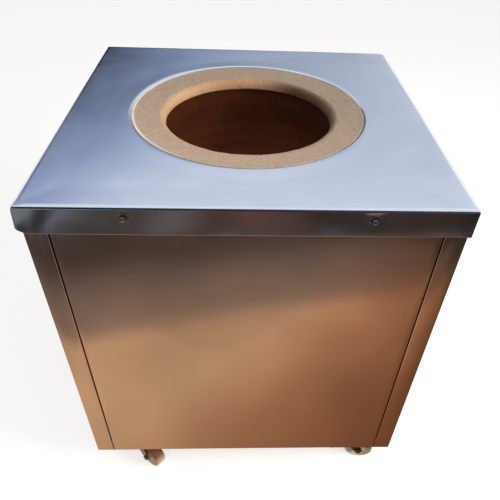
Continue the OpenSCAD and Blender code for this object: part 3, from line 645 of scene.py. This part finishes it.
# %% [markdown]
# ## The panels
#
# The front and back panels are shallow pans, and each side panel is a channel whose narrow returns make the
# upright strips beside the front panel. All are folded from flat sheet, so each starts as a grid for the flat
# face and gets its edges extruded round the bends. A grid has faces enough to carry the faint dishing that
# makes a reflection bend and swim on real sheet.

# %% Panel sizes, read from the frame
panel_sheet = mm(1.2)
panel_bend = mm(2.4)
panel_lip = mm(12)
panel_cells = 48
side_low, side_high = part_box("right_side_panel")
front_low, front_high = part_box("front_panel")
return_width = side_high.x - side_low.x
panel_height = front_high.z - front_low.z
panel_middle = (front_high.z + front_low.z) / 2
print(f"front panel {1000 * (front_high.x - front_low.x):.0f} x {1000 * panel_height:.0f} mm")

# %% Fold a pan


def upright_grid(name, width, turn):
    """A grid that stands on its edge, centred on Z and facing -Y, then turned about Z."""
    deselect_all()
    bpy.ops.mesh.primitive_grid_add(x_subdivisions=panel_cells, y_subdivisions=panel_cells, size=1)
    piece = bpy.context.object
    piece.name = name
    piece.scale = (width, panel_height, 1)
    piece.rotation_euler = (math.radians(90), 0, 0)
    piece.location = (0, 0, panel_middle)
    bpy.ops.object.transform_apply(location=True, rotation=True, scale=True)
    piece.rotation_euler = (0, 0, math.radians(turn))
    bpy.ops.object.transform_apply(location=False, rotation=True, scale=False)
    return piece


def extrude_upright_edges(axis, at, steps):
    """Extrudes the upright edges at one coordinate, once for each step."""
    pick("EDGE", all_verts(lambda p: near(p[axis], at)))
    for step in steps:
        bpy.ops.mesh.extrude_region_move(TRANSFORM_OT_translate={"value": step})


def round_upright_bends():
    """Rounds each upright fold of the panel that is being edited."""
    pick("EDGE", lambda e: sharp(e) and not near(e.verts[0].co.z, e.verts[1].co.z))
    bpy.ops.mesh.bevel(offset=panel_bend, offset_type="OFFSET", segments=4, profile=0.5, affect="EDGES")
    bpy.ops.mesh.select_all(action="SELECT")
    bpy.ops.mesh.normals_make_consistent(inside=False)


# %% Dish a panel's flat face
dish_depth = mm(0.9)
dish_border = mm(4)
dish_fade = mm(70)


def dish(piece, axis, face, seed):
    """Pushes a panel's flat face inwards in soft waves that fade at its edges."""
    low = Vector([min(v.co[i] for v in piece.data.vertices) for i in range(3)])
    high = Vector([max(v.co[i] for v in piece.data.vertices) for i in range(3)])
    across = 1 - axis

    def rule(place, normal):
        if not near(place[axis], face, mm(0.1)):
            return Vector((0, 0, 0))
        from_side = min(place[across] - low[across], high[across] - place[across])
        from_end = min(place.z - low.z, high.z - place.z)
        fade = limit((from_side - dish_border) / dish_fade) * min(1.0, 0.35 + from_end / mm(120))
        wave = 0.5 + 0.5 * smooth_noise(place, mm(230), seed) + 0.15 * smooth_noise(place, mm(90), seed + 4)
        offset = Vector((0, 0, 0))
        offset[axis] = -math.copysign(dish_depth * fade * wave, face)
        return offset

    move_vertices(piece, rule)


# %% Front and back panels


def fold_pan(name, node, side, seed):
    """A front (side -1) or back (side 1) panel, standing in the place of its CAD node."""
    low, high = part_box(node)
    face = low.y if side < 0 else high.y
    pan = upright_grid(name, high.x - low.x, 0 if side < 0 else 180)
    pan.location = (0, face, 0)
    bpy.ops.object.transform_apply(location=True, rotation=False, scale=False)
    bpy.ops.object.mode_set(mode="EDIT")
    for edge in (low.x, high.x):
        extrude_upright_edges(0, edge, [(0, -side * panel_lip, 0)])
    round_upright_bends()
    bpy.ops.object.mode_set(mode="OBJECT")
    dish(pan, 1, face, seed)
    return pan


front_pan = fold_pan("front_panel_sheet", "front_panel", -1, 11.0)
back_pan = fold_pan("back_panel_sheet", "back_panel", 1, 23.0)
print(f"{front_pan.name}, {back_pan.name}: {len(front_pan.data.polygons)} faces each before their thickness")

# %% [markdown]
# The back panel has the draught port. A boolean cut is the right tool here, because the port is a plain
# rectangle cut after folding, and the thin wall left round it needs no flow.

# %% Cut the draught port
door_low, door_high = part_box("damper_door")
door_lap = mm(15)
port_low = door_low + Vector((door_lap, 0, door_lap))
port_high = door_high - Vector((door_lap, 0, door_lap))


def cut_box(piece, low, high):
    """Cuts a box out of a piece."""
    deselect_all()
    bpy.ops.mesh.primitive_cube_add(size=1, location=(low + high) / 2)
    cutter = bpy.context.object
    cutter.scale = high - low
    bpy.ops.object.transform_apply(location=True, rotation=True, scale=True)
    apply_modifier(piece, "BOOLEAN", operation="DIFFERENCE", object=cutter, solver="EXACT")
    bpy.data.objects.remove(cutter)


for pan, node in ((front_pan, "front_panel"), (back_pan, "back_panel")):
    apply_modifier(pan, "SOLIDIFY", thickness=panel_sheet, offset=-1.0, use_even_offset=True)
    if node == "back_panel":
        cut_box(pan, Vector((port_low.x, 0, port_low.z)), Vector((port_high.x, 1, port_high.z)))
    round_off(pan)
    hand_over(pan, panel_steel, "cabinet", "panel_steel", node)

# %% Side panels, with their returns on the front and the back


def fold_side(name, node, side, seed):
    """A side panel on -X (side -1) or +X (side 1): the wall, its returns and the lips at the seams."""
    low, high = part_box(node)
    face = low.x if side < 0 else high.x
    wall = upright_grid(name, high.y - low.y, 90 * side)
    wall.location = (face, 0, 0)
    bpy.ops.object.transform_apply(location=True, rotation=False, scale=False)
    bpy.ops.object.mode_set(mode="EDIT")
    for end, y in ((-1, low.y), (1, high.y)):
        extrude_upright_edges(1, y, [(-side * return_width, 0, 0), (0, -end * panel_lip, 0)])
    round_upright_bends()
    bpy.ops.object.mode_set(mode="OBJECT")
    dish(wall, 0, face, seed)
    apply_modifier(wall, "SOLIDIFY", thickness=panel_sheet, offset=-1.0, use_even_offset=True)
    round_off(wall)
    return wall


for side, node in ((-1, "left_side_panel"), (1, "right_side_panel")):
    wall = fold_side(node + "_sheet", node, side, 31.0 + 9 * side)
    hand_over(wall, panel_steel, "cabinet", "panel_steel", node)

# %% [markdown]
# ## The clay collar and the pot
#
# Both are round, so each is a profile spun about the oven's axis: a circle's points are moved onto the
# profile, and the spin operator sweeps it round. Sculpting would also do, but the profile keeps the fit to
# the steel opening exact. The hand-made look is then pushed in with noise: the lip wanders by a millimetre,
# the sanded face is uneven, and the pot has the finger rings of a wall built up from coils.

# %% Spin a profile


def arc(middle_r, middle_z, radius, start, end, steps):
    """Points (r, z) along an arc, with angles in degrees."""
    turns = [math.radians(start + (end - start) * i / steps) for i in range(steps + 1)]
    return [(middle_r + radius * math.cos(t), middle_z + radius * math.sin(t)) for t in turns]


def straight(start, end, steps):
    """Points (r, z) from a start to an end, without the end."""
    return [(start[0] + (end[0] - start[0]) * i / steps, start[1] + (end[1] - start[1]) * i / steps)
            for i in range(steps)]


def spin_profile(name, profile, steps):
    """A closed outline of (r, z) points, swept round the Z axis."""
    deselect_all()
    bpy.ops.mesh.primitive_circle_add(vertices=len(profile), radius=1)
    piece = bpy.context.object
    piece.name = name
    for vertex, (r, z) in zip(piece.data.vertices, profile):
        vertex.co = (r, 0, z)
    bpy.ops.object.mode_set(mode="EDIT")
    bpy.ops.mesh.select_all(action="SELECT")
    bpy.ops.mesh.spin(steps=steps, angle=math.tau, center=(0, 0, 0), axis=(0, 0, 1))
    bpy.ops.mesh.select_all(action="SELECT")
    bpy.ops.mesh.remove_doubles(threshold=mm(0.01))
    bpy.ops.mesh.normals_make_consistent(inside=False)
    bpy.ops.object.mode_set(mode="OBJECT")
    return piece


# %% The collar round the mouth
# The first mount of the frame is the mouth, and underneath the ring widens from it at 45 degrees
mouth_radius = mm(frame["record"]["mounts"][0]["dims"]["r_mm"])
collar_outer = collar_high.y + mm(1.1)
collar_floor = collar_low.z
collar_face = collar_high.z
collar_dish = mm(6)
edge_radius = mm(1)
lip_radius = mm(15)
throat_wall = mm(6)
lip_top = (mouth_radius + lip_radius + mm(2), collar_face - collar_dish)
lip_z = collar_face - collar_dish - lip_radius
throat_z = lip_z - throat_wall
underside_r = mouth_radius + throat_z - collar_floor

collar_profile = (
    straight((collar_outer, collar_floor), (collar_outer, collar_face - edge_radius), 4)
    + arc(collar_outer - edge_radius, collar_face - edge_radius, edge_radius, 0, 80, 4)
    + straight((collar_outer - mm(1.8), collar_face), lip_top, 26)
    + arc(mouth_radius + lip_radius, lip_z, lip_radius, 90, 180, 12)
    + straight((mouth_radius, lip_z - mm(1)), (mouth_radius, throat_z), 4)
    + straight((mouth_radius, throat_z), (underside_r, collar_floor), 3)
    + straight((underside_r, collar_floor), (collar_outer, collar_floor), 8)
)
collar = spin_profile("collar_clay", collar_profile, 288)
print(f"collar {2000 * collar_outer:.0f} mm across, mouth {2000 * mouth_radius:.0f} mm")

# %% Rub, chip and bend the collar by hand
lip_wander = mm(1.4)
chip_depth = mm(7)


def collar_faults(place, normal):
    """Unevenness of the sanded face, a wandering lip and a few shallow chips along it."""
    if place.z < collar_floor + mm(1):
        return Vector((0, 0, 0))
    r = place.xy.length
    free = limit((collar_outer - mm(1) - r) / mm(8))
    lip = math.exp(-((r - mouth_radius - mm(5)) / mm(10)) ** 2)
    outward = Vector((place.x / r, place.y / r, 0))
    uneven = mm(0.55) * smooth_noise(place, mm(26), 2.0) + mm(0.3) * smooth_noise(place, mm(8), 5.0)
    uneven += mm(0.3) * smooth_noise(Vector((r / mm(7), 1.5 * math.atan2(place.y, place.x), 0)), 1.0, 6.0)
    wander = lip_wander * smooth_noise(outward, 0.55, 9.0)
    chip = max(0.0, smooth_noise(place, mm(14), 13.0) - 0.42) * chip_depth * lip
    return normal * free * (uneven - chip - mm(0.4)) + outward * lip * abs(wander)


move_vertices(collar, collar_faults)
round_off(collar, 60)
hand_over(collar, fireclay, "cabinet", "fireclay", "mouth_collar")

# %% The pot, with the finger rings of its coils
pot_low, pot_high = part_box("clay_pot")
foot_radius = mm(205)
belly_radius = mm(264)
neck_radius = mm(222)
pot_wall = mm(32)
belly_share = 0.42
pot_height = pot_high.z - pot_low.z
coil_height = mm(38)


def pot_radius(share):
    """The pot's outer radius at a share of its height: out to the belly, then in to the neck."""
    if share < belly_share:
        return foot_radius + (belly_radius - foot_radius) * math.sin(math.pi / 2 * share / belly_share)
    fall = (share - belly_share) / (1 - belly_share)
    return neck_radius + (belly_radius - neck_radius) * math.cos(math.pi / 2 * fall)


inner_steps = 96
outer_steps = 20
pot_profile = [(pot_radius(i / outer_steps), pot_low.z + pot_height * i / outer_steps)
               for i in range(outer_steps + 1)]
pot_profile += [(pot_radius(1 - i / inner_steps) - pot_wall, pot_high.z - pot_height * i / inner_steps)
                for i in range(inner_steps + 1)]
pot = spin_profile("pot_clay_jar", pot_profile, 216)
print(f"pot {1000 * pot_height:.0f} mm high, {2000 * belly_radius:.0f} mm across its belly")


ring_depth = mm(0.6)
lump_depth = mm(1.6)
worn_away = mm(1.0)


def pot_faults(place, normal):
    """Finger rings and lumps on the inside of the pot."""
    share = (place.z - pot_low.z) / pot_height
    r = place.xy.length
    if r > pot_radius(limit(share)) - pot_wall / 2:
        return Vector((0, 0, 0))
    outward = Vector((place.x / r, place.y / r, 0))
    rings = math.sin(math.tau * place.z / coil_height + 1.5 * smooth_noise(place, mm(150), 4.0))
    lumps = smooth_noise(place, mm(70), 8.0)
    return outward * (ring_depth * rings + lump_depth * lumps + worn_away)


move_vertices(pot, pot_faults)
cut_box(pot, Vector((port_low.x, 0, port_low.z)), Vector((port_high.x, 1, port_high.z)))
round_off(pot, 50)
hand_over(pot, pot_clay, "cabinet", "terracotta", "clay_pot")

# %% [markdown]
# ## The deck's screws
#
# Each is an M6 hexagon screw with a dished head, over a plain washer with rounded edges. One of each is
# modelled standing on the origin and copied to the eight places, and each copy is turned a little, as screws
# are never all in line.

# %% Model one screw
thread_radius = mm(3)
thread_length = mm(14)
washer_radius = mm(9)
washer_height = mm(1.6)
hex_radius = mm(5.55)
hex_height = mm(4)

deselect_all()
bpy.ops.mesh.primitive_cylinder_add(vertices=6, radius=hex_radius, depth=hex_height,
                                    location=(0, 0, washer_height + hex_height / 2))
screw = bpy.context.object
screw.name = "deck_screw"
bpy.ops.object.transform_apply(location=True, rotation=True, scale=True)
bpy.ops.object.mode_set(mode="EDIT")
pick("FACE", lambda f: f.normal.z > 0.9)
bpy.ops.mesh.inset(thickness=mm(0.9))
bpy.ops.mesh.inset(thickness=mm(0.5))
bpy.ops.transform.translate(value=(0, 0, -mm(1.1)))
pick("EDGE", sharp)
bpy.ops.mesh.bevel(offset=mm(0.35), offset_type="OFFSET", segments=2, affect="EDGES")
bpy.ops.mesh.select_all(action="DESELECT")
bpy.ops.mesh.primitive_cylinder_add(vertices=20, radius=thread_radius, depth=thread_length + washer_height,
                                    location=(0, 0, (washer_height - thread_length) / 2))
bpy.ops.object.mode_set(mode="OBJECT")
print(f"{screw.name}: {len(screw.data.polygons)} faces")

# %% Model one washer
washer_bore = mm(3.4)
washer_rounding = mm(0.5)
washer_profile = (
    straight((washer_bore, 0), (washer_radius - washer_rounding, 0), 4)
    + arc(washer_radius - washer_rounding, washer_rounding, washer_rounding, -90, 0, 3)
    + arc(washer_radius - washer_rounding, washer_height - washer_rounding, washer_rounding, 0, 90, 3)
    + straight((washer_radius - washer_rounding - mm(0.1), washer_height), (washer_bore, washer_height), 4)
    + [(washer_bore, washer_height)]
)
washer = spin_profile("deck_washer", washer_profile, 40)
print(f"{washer.name}: {len(washer.data.polygons)} faces")

# %% Copy both to their places


screw_count = 8


def stand_in_skirt(piece, node):
    """Copies a screw or a washer to two places on each side of the deck."""
    round_off(piece)
    for number in range(screw_count):
        copy = bpy.data.objects.new(f"{piece.name}_{number + 1}", piece.data.copy())
        bpy.context.scene.collection.objects.link(copy)
        reach = screw_reach if number % 2 else -screw_reach
        stand = Matrix.Translation((reach, -deck_half, screw_z)) @ Matrix.Rotation(math.radians(90), 4, "X")
        twist = Matrix.Rotation(math.radians(3 + 41 * number), 4, "Z")
        copy.data.transform(Matrix.Rotation(math.radians(90 * (number // 2)), 4, "Z") @ stand @ twist)
        hand_over(copy, zinc_with_painted_reflections, "cabinet", "zinc_plate", node)
    bpy.data.objects.remove(piece)


stand_in_skirt(screw, "deck_screws")
stand_in_skirt(washer, "deck_washers")

# %% [markdown]
# ## The small steel parts
#
# The castors, frame, guides and damper already have their true shape in the CAD model. Real steel has no
# knife edges, though: every corner catches a thin line of light. So each is copied, its loose triangles are
# merged into clean faces, and a small bevel rounds the edges.

# %% Copy CAD nodes with rounded edges


crease_angle = math.radians(38)


def rounded_copy(node, width_mm):
    """A CAD node's own shape with its sharp edges rounded. The node itself isn't touched."""
    piece = bpy.data.objects.new(node + "_rounded", frame["nodes"][node].data.copy())
    bpy.context.scene.collection.objects.link(piece)
    focus(piece)
    bpy.ops.object.mode_set(mode="EDIT")
    bpy.ops.mesh.select_all(action="SELECT")
    bpy.ops.mesh.remove_doubles(threshold=mm(0.002))
    bpy.ops.mesh.dissolve_limited(angle_limit=math.radians(1.5))
    bpy.ops.object.mode_set(mode="OBJECT")
    apply_modifier(piece, "BEVEL", width=mm(width_mm), segments=2, limit_method="ANGLE",
                   angle_limit=crease_angle, use_clamp_overlap=True)
    round_off(piece)
    return piece


# Each node's finish, and the width of its rounded edges in millimetres
dressed = {
    "base_frame": (primer, 1.2), "top_frame": (primer, 1.2), "castor_pads": (primer, 0.8),
    "base_plate": (primer, 0.6), "draught_duct": (primer, 0.4), "guide_upper": (panel_steel, 0.25),
    "guide_lower": (panel_steel, 0.25), "damper_door": (panel_steel, 0.5), "fire_grate": (cast_iron, 1.2),
    "hearth_tile": (firebrick, 2.0), "brick_bed": (firebrick, 2.0), "castor_bolts": (zinc_plate, 0.4),
    "guide_rivets": (zinc_plate, 0.1), "damper_knob": (phenolic, 0.15), "knob_screw": (zinc_plate, 0.1),
    "kingpins": (zinc_plate, 0.4),
}
for corner in ("front_left", "front_right", "back_left", "back_right"):
    dressed["post_" + corner] = (primer, 0.8)
for corner in ("fl", "fr", "bl", "br"):
    dressed["castor_plate_" + corner] = (zinc_plate, 0.5)
    dressed["fork_" + corner] = (zinc_plate, 0.5)
    dressed["axle_bolt_" + corner] = (zinc_plate, 0.4)
    dressed["wheel_bush_" + corner] = (zinc_plate, 0.2)
    dressed["wheel_" + corner] = (nylon, 0.7)

slot_of = {row["node"]: row["material_slot"] for row in frame["record"]["subparts"]}
for node, (material, width) in dressed.items():
    piece = rounded_copy(node, width)
    hand_over(piece, material, frame["nodes"][node]["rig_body"], slot_of[node], node)

# %% Finishes for the nodes that keep their CAD mesh
kept = {"wool_blanket": ceramic_wool, "insulation_fill": vermiculite, "ball_races": zinc_plate}
for node, material in kept.items():
    frame["nodes"][node].data.materials.clear()
    frame["nodes"][node].data.materials.append(material)
print("CAD mesh kept:", ", ".join(kept))

# %% [markdown]
# ## Floor, surroundings and light
#
# Steel shows what is round it. The camera sees a plain pale floor and a white background, but out of doors
# such an oven mirrors warm ground in its sides and pale sky in its deck. An image of a yard wrapped round the
# scene would do that too, but a few ramps of colour are plainer and can be moved to where the steel mirrors
# them. They are shown only to rays that bounce off a glossy surface. All else is lit by plain soft light.
#
# The ground comes first: rings of sunlit earth that lie round the oven and turn to shade farther out, a
# greener strip on the right, a far edge where light walls and dark doorways stand in a row from left to
# right, and a long shadow over the right and the rear.

# %% The floor
floor_size = 24
deselect_all()
bpy.ops.mesh.primitive_plane_add(size=floor_size, location=(0, 0, 0))
floor = bpy.context.object
floor.name = "floor"
floor_material = bpy.data.materials.new("pale_floor")
floor_material.use_nodes = True
floor.data.materials.append(floor_material)
print(f"{floor.name}: {floor_size} m square")

# %% Rings of earth, and the row of far things
tree = floor_material.node_tree
tree.nodes.clear()
place = add_node(tree, "ShaderNodeTexCoord").outputs["Object"]
where = add_node(tree, "ShaderNodeSeparateXYZ", {"Vector": place}).outputs
spread = add_node(tree, "ShaderNodeVectorMath", {0: place}, operation="ABSOLUTE")
spread = add_node(tree, "ShaderNodeSeparateXYZ", {"Vector": spread}).outputs
away = add_node(tree, "ShaderNodeMath", {0: spread["X"], 1: spread["Y"]}, operation="MAXIMUM")
leaning = add_node(tree, "ShaderNodeMath", {0: where["X"], 1: -0.22, 2: away}, operation="MULTIPLY_ADD")
in_two_metres = add_node(tree, "ShaderNodeMath", {0: leaning, 1: 2.0}, operation="DIVIDE")
earth = add_node(tree, "ShaderNodeValToRGB", {"Fac": in_two_metres}, [
    (0.13, "#5A4234"), (0.17, "#F0BE96"), (0.35, "#FFD2AA"), (0.458, "#FBCDA6"), (0.485, "#B6998C"),
    (0.575, "#9C857A"), (0.61, "#8B7874"), (0.65, "#6F625C"), (0.69, "#584C47")])
on_grass = add_node(tree, "ShaderNodeMapRange", {"Value": where["X"], "From Min": 0.82, "From Max": 0.9})
greened = add_node(tree, "ShaderNodeMix", {0: on_grass, MIX_A: earth, MIX_B: srgb("#BDE8FA")},
                   data_type="RGBA", blend_type="MULTIPLY")
across = add_node(tree, "ShaderNodeMapRange", {"Value": where["X"], "From Min": -1.2, "From Max": 1.2})
row = add_node(tree, "ShaderNodeValToRGB", {"Fac": across}, [
    (0.105, "#8C918C"), (0.12, "#3A373B"), (0.142, "#3A373B"), (0.162, "#8C8790"), (0.19, "#6C686A"),
    (0.225, "#58584F"), (0.292, "#5E524C"), (0.371, "#776864"), (0.421, "#68584F"), (0.442, "#5E453C"),
    (0.508, "#735248"), (0.612, "#553F38"), (0.633, "#43372F"), (0.875, "#4E4541")])
far_off = add_node(tree, "ShaderNodeMapRange", {"Value": away, "From Min": 1.34, "From Max": 1.44})
ground = add_node(tree, "ShaderNodeMix", {0: far_off, MIX_A: greened, MIX_B: row}, data_type="RGBA")
print(f"ground: {len(tree.nodes)} nodes")

# %% The long shadow and the unevenness of the ground
beside = add_node(tree, "ShaderNodeMath", {0: where["Y"], 1: 0.9, 2: where["X"]}, operation="MULTIPLY_ADD")
turned = add_node(tree, "ShaderNodeMapRange", {"Value": beside, "From Min": -0.75, "From Max": 0.05})
shade = add_node(tree, "ShaderNodeValToRGB", {"Fac": turned}, [
    (0.0, "#FFFFFF"), (0.35, "#E2CDC6"), (0.65, "#BCA499"), (1.0, "#92796B")])
shaded = add_node(tree, "ShaderNodeMix", {0: 1.0, MIX_A: ground, MIX_B: shade}, data_type="RGBA",
                  blend_type="MULTIPLY")
paving = add_node(tree, "ShaderNodeTexNoise", {"Vector": place, "Scale": 2.6, "Detail": 1.0})
patches = add_node(tree, "ShaderNodeMapRange", {"Value": paving, "From Min": 0.35, "From Max": 0.65,
                                                "To Min": 0.9, "To Max": 1.12})
print(f"with its shadow: {len(tree.nodes)} nodes")

# %% Show the ground to glossy rays, and a pale floor to all others
ray = add_node(tree, "ShaderNodeLightPath").outputs
shown = add_node(tree, "ShaderNodeBsdfDiffuse", {"Color": srgb("#C8C7C6")})
bright = add_node(tree, "ShaderNodeMath", {0: ray["Is Camera Ray"], 1: 0.62}, operation="MULTIPLY")
lift = add_node(tree, "ShaderNodeEmission", {"Color": srgb("#FFFFFF"), "Strength": bright})
pale = add_node(tree, "ShaderNodeAddShader", {0: shown, 1: lift})
mirrored = add_node(tree, "ShaderNodeEmission", {"Color": shaded, "Strength": patches})
surface = add_node(tree, "ShaderNodeMixShader", {0: ray["Is Glossy Ray"], 1: pale, 2: mirrored})
add_node(tree, "ShaderNodeOutputMaterial", {"Surface": surface})
print(f"{floor_material.name}: {len(tree.nodes)} nodes")

# %% [markdown]
# The sky works the same way, but its ramps are read by direction. One goes by the height of the direction,
# from haze low down to a bright top. The other goes from a dark left side to an open right side, with an edge
# that noise breaks up like treetops. The sun's glow stands low on both sides, and gives the bent edges of the
# sheet their bright lines. Towards the front, on the -Y side, everything is darker, so the upright steel of
# the front doesn't wash out.

# %% Sky and trees
world = bpy.data.worlds.new("surroundings")
bpy.context.scene.world = world
world.use_nodes = True
tree = world.node_tree
tree.nodes.clear()
direction = add_node(tree, "ShaderNodeTexCoord").outputs["Generated"]
where = add_node(tree, "ShaderNodeSeparateXYZ", {"Vector": direction}).outputs
clouds = add_node(tree, "ShaderNodeTexNoise", {"Vector": direction, "Scale": 5.0, "Detail": 2.0})
tilt = add_node(tree, "ShaderNodeMath", {0: where["Z"], 1: 1.35, 2: where["X"]}, operation="MULTIPLY_ADD")
broken = add_node(tree, "ShaderNodeMath", {0: clouds, 1: 0.12, 2: tilt}, operation="MULTIPLY_ADD")
sky = add_node(tree, "ShaderNodeValToRGB", {"Fac": where["Z"]}, [
    (0.308, "#8791A2"), (0.33, "#C2CAD2"), (0.46, "#C3CBD6"), (0.51, "#C4CCD9"), (0.545, "#F8F8FF"),
    (0.57, "#F8F9FD")])
trees = add_node(tree, "ShaderNodeValToRGB", {"Fac": broken}, [
    (0.22, "#30333B"), (0.28, "#45484D"), (0.32, "#939EBD"), (0.36, "#9EABCA"), (0.40, "#AAB6D1"),
    (0.485, "#DDE6FF"), (0.52, "#FAFBFF"), (0.75, "#F8F7FA"), (1.0, "#FFFFFF")])
open_air = add_node(tree, "ShaderNodeMix", {0: 1.0, MIX_A: sky, MIX_B: trees}, data_type="RGBA",
                    blend_type="MULTIPLY")
print(f"sky: {len(tree.nodes)} nodes")

# %% The low sun's glow on both sides, and the darker front
glow_colour = (1.3, 1.3, 1.3, 1.0)
beyond = add_node(tree, "ShaderNodeMath", {0: where["Z"], 1: -0.9, 2: where["X"]}, operation="MULTIPLY_ADD")
rightwards = add_node(tree, "ShaderNodeMapRange", {"Value": beyond, "From Min": 0.0, "From Max": 0.1})
leftwards = add_node(tree, "ShaderNodeMapRange", {"Value": where["X"], "From Min": -0.42, "From Max": -0.5})
sideways = add_node(tree, "ShaderNodeMath", {0: rightwards, 1: leftwards}, operation="MAXIMUM")
low_down = add_node(tree, "ShaderNodeMapRange", {"Value": where["Z"], "From Min": 0.5, "From Max": 0.4})
glow = add_node(tree, "ShaderNodeMath", {0: sideways, 1: low_down}, operation="MULTIPLY")
glowing = add_node(tree, "ShaderNodeMix", {0: glow, MIX_A: open_air, MIX_B: glow_colour}, data_type="RGBA")
frontwards = add_node(tree, "ShaderNodeMapRange", {"Value": where["Y"], "From Min": -0.1, "From Max": -0.5})
surroundings = add_node(tree, "ShaderNodeMix", {0: frontwards, MIX_A: glowing, MIX_B: srgb("#3E4048")},
                        data_type="RGBA", blend_type="MULTIPLY")
print(f"with its glow: {len(tree.nodes)} nodes")

# %% Show the surroundings to glossy rays, white to the camera, and a soft grey to all others
ray = add_node(tree, "ShaderNodeLightPath").outputs
plain = add_node(tree, "ShaderNodeBackground", {"Color": srgb("#F6F7FA"), "Strength": 0.5})
white = add_node(tree, "ShaderNodeBackground", {"Color": srgb("#FFFFFF"), "Strength": 1.0})
mirrored = add_node(tree, "ShaderNodeBackground", {"Color": surroundings, "Strength": 1.4})
lit = add_node(tree, "ShaderNodeMixShader", {0: ray["Is Glossy Ray"], 1: plain, 2: mirrored})
seen = add_node(tree, "ShaderNodeMixShader", {0: ray["Is Camera Ray"], 1: lit, 2: white})
add_node(tree, "ShaderNodeOutputWorld", {"Surface": seen})
print(f"{world.name}: {len(tree.nodes)} nodes")

# %% [markdown]
# Two soft lamps do the lighting: a large warm one from the right, as the low sun stood, and a weak one from
# the front, high enough to reach down into the pot. Square lamps would show as squares in the steel, so both
# are hidden from glossy rays.

# %% The key light and the front light


def area_light(name, place, target, size, power, colour):
    """A square soft light that points at a target, and that steel doesn't mirror."""
    lamp = bpy.data.lights.new(name, "AREA")
    lamp.size = size
    lamp.energy = power
    lamp.color = srgb(colour)[:3]
    lamp_object = bpy.data.objects.new(name, lamp)
    lamp_object.location = place
    lamp_object.visible_glossy = False
    lamp_object.rotation_euler = (Vector(target) - Vector(place)).to_track_quat("-Z", "Y").to_euler()
    bpy.context.scene.collection.objects.link(lamp_object)
    print(f"{name}: {power} W, {size} m square")


area_light("key_light", (2.6, -1.1, 1.9), (0, 0, 0.8), 1.4, 92, "#FFEBD0")
area_light("front_light", (-0.2, -2.0, 2.6), (0, 0, 0.8), 1.2, 18, "#FFF6EC")

# %% [markdown]
# ## The camera
#
# The picture was taken from about chest height, close in front of the oven and looking steeply down. The
# camera's place, lens and turn come from fitting the edges of the deck and the cabinet to that view. The lens
# is written as its focal length in pixels of the picture, and the shift moves the middle of the view.

# %% Place the camera
sensor_mm = 36
picture_px = 500
focal_px = 502.5
middle_px = (262.8, 255.3)
camera_place = Vector((mm(-16.0), mm(-1044.0), deck_top + mm(467.1)))
yaw, pitch, roll = (math.radians(a) for a in (3.36, 40.33, 2.59))
forward = Vector((math.sin(yaw) * math.cos(pitch), math.cos(yaw) * math.cos(pitch), -math.sin(pitch)))
level = Vector((math.cos(yaw), -math.sin(yaw), 0))
upright = level.cross(forward)
right = math.cos(roll) * level + math.sin(roll) * upright
up = -math.sin(roll) * level + math.cos(roll) * upright

camera_data = bpy.data.cameras.new("camera")
camera_data.sensor_width = sensor_mm
camera_data.lens = sensor_mm * focal_px / picture_px
camera_data.shift_x = (picture_px / 2 - middle_px[0]) / picture_px
camera_data.shift_y = (middle_px[1] - picture_px / 2) / picture_px
camera = bpy.data.objects.new("camera", camera_data)
turn = Matrix((right, up, -forward)).transposed().to_4x4()
camera.matrix_world = Matrix.Translation(camera_place) @ turn
bpy.context.scene.collection.objects.link(camera)
bpy.context.scene.camera = camera
bpy.context.scene.view_settings.view_transform = "Standard"
print(f"lens {camera_data.lens:.1f} mm, {1000 * camera_place.z:.0f} mm above the floor")
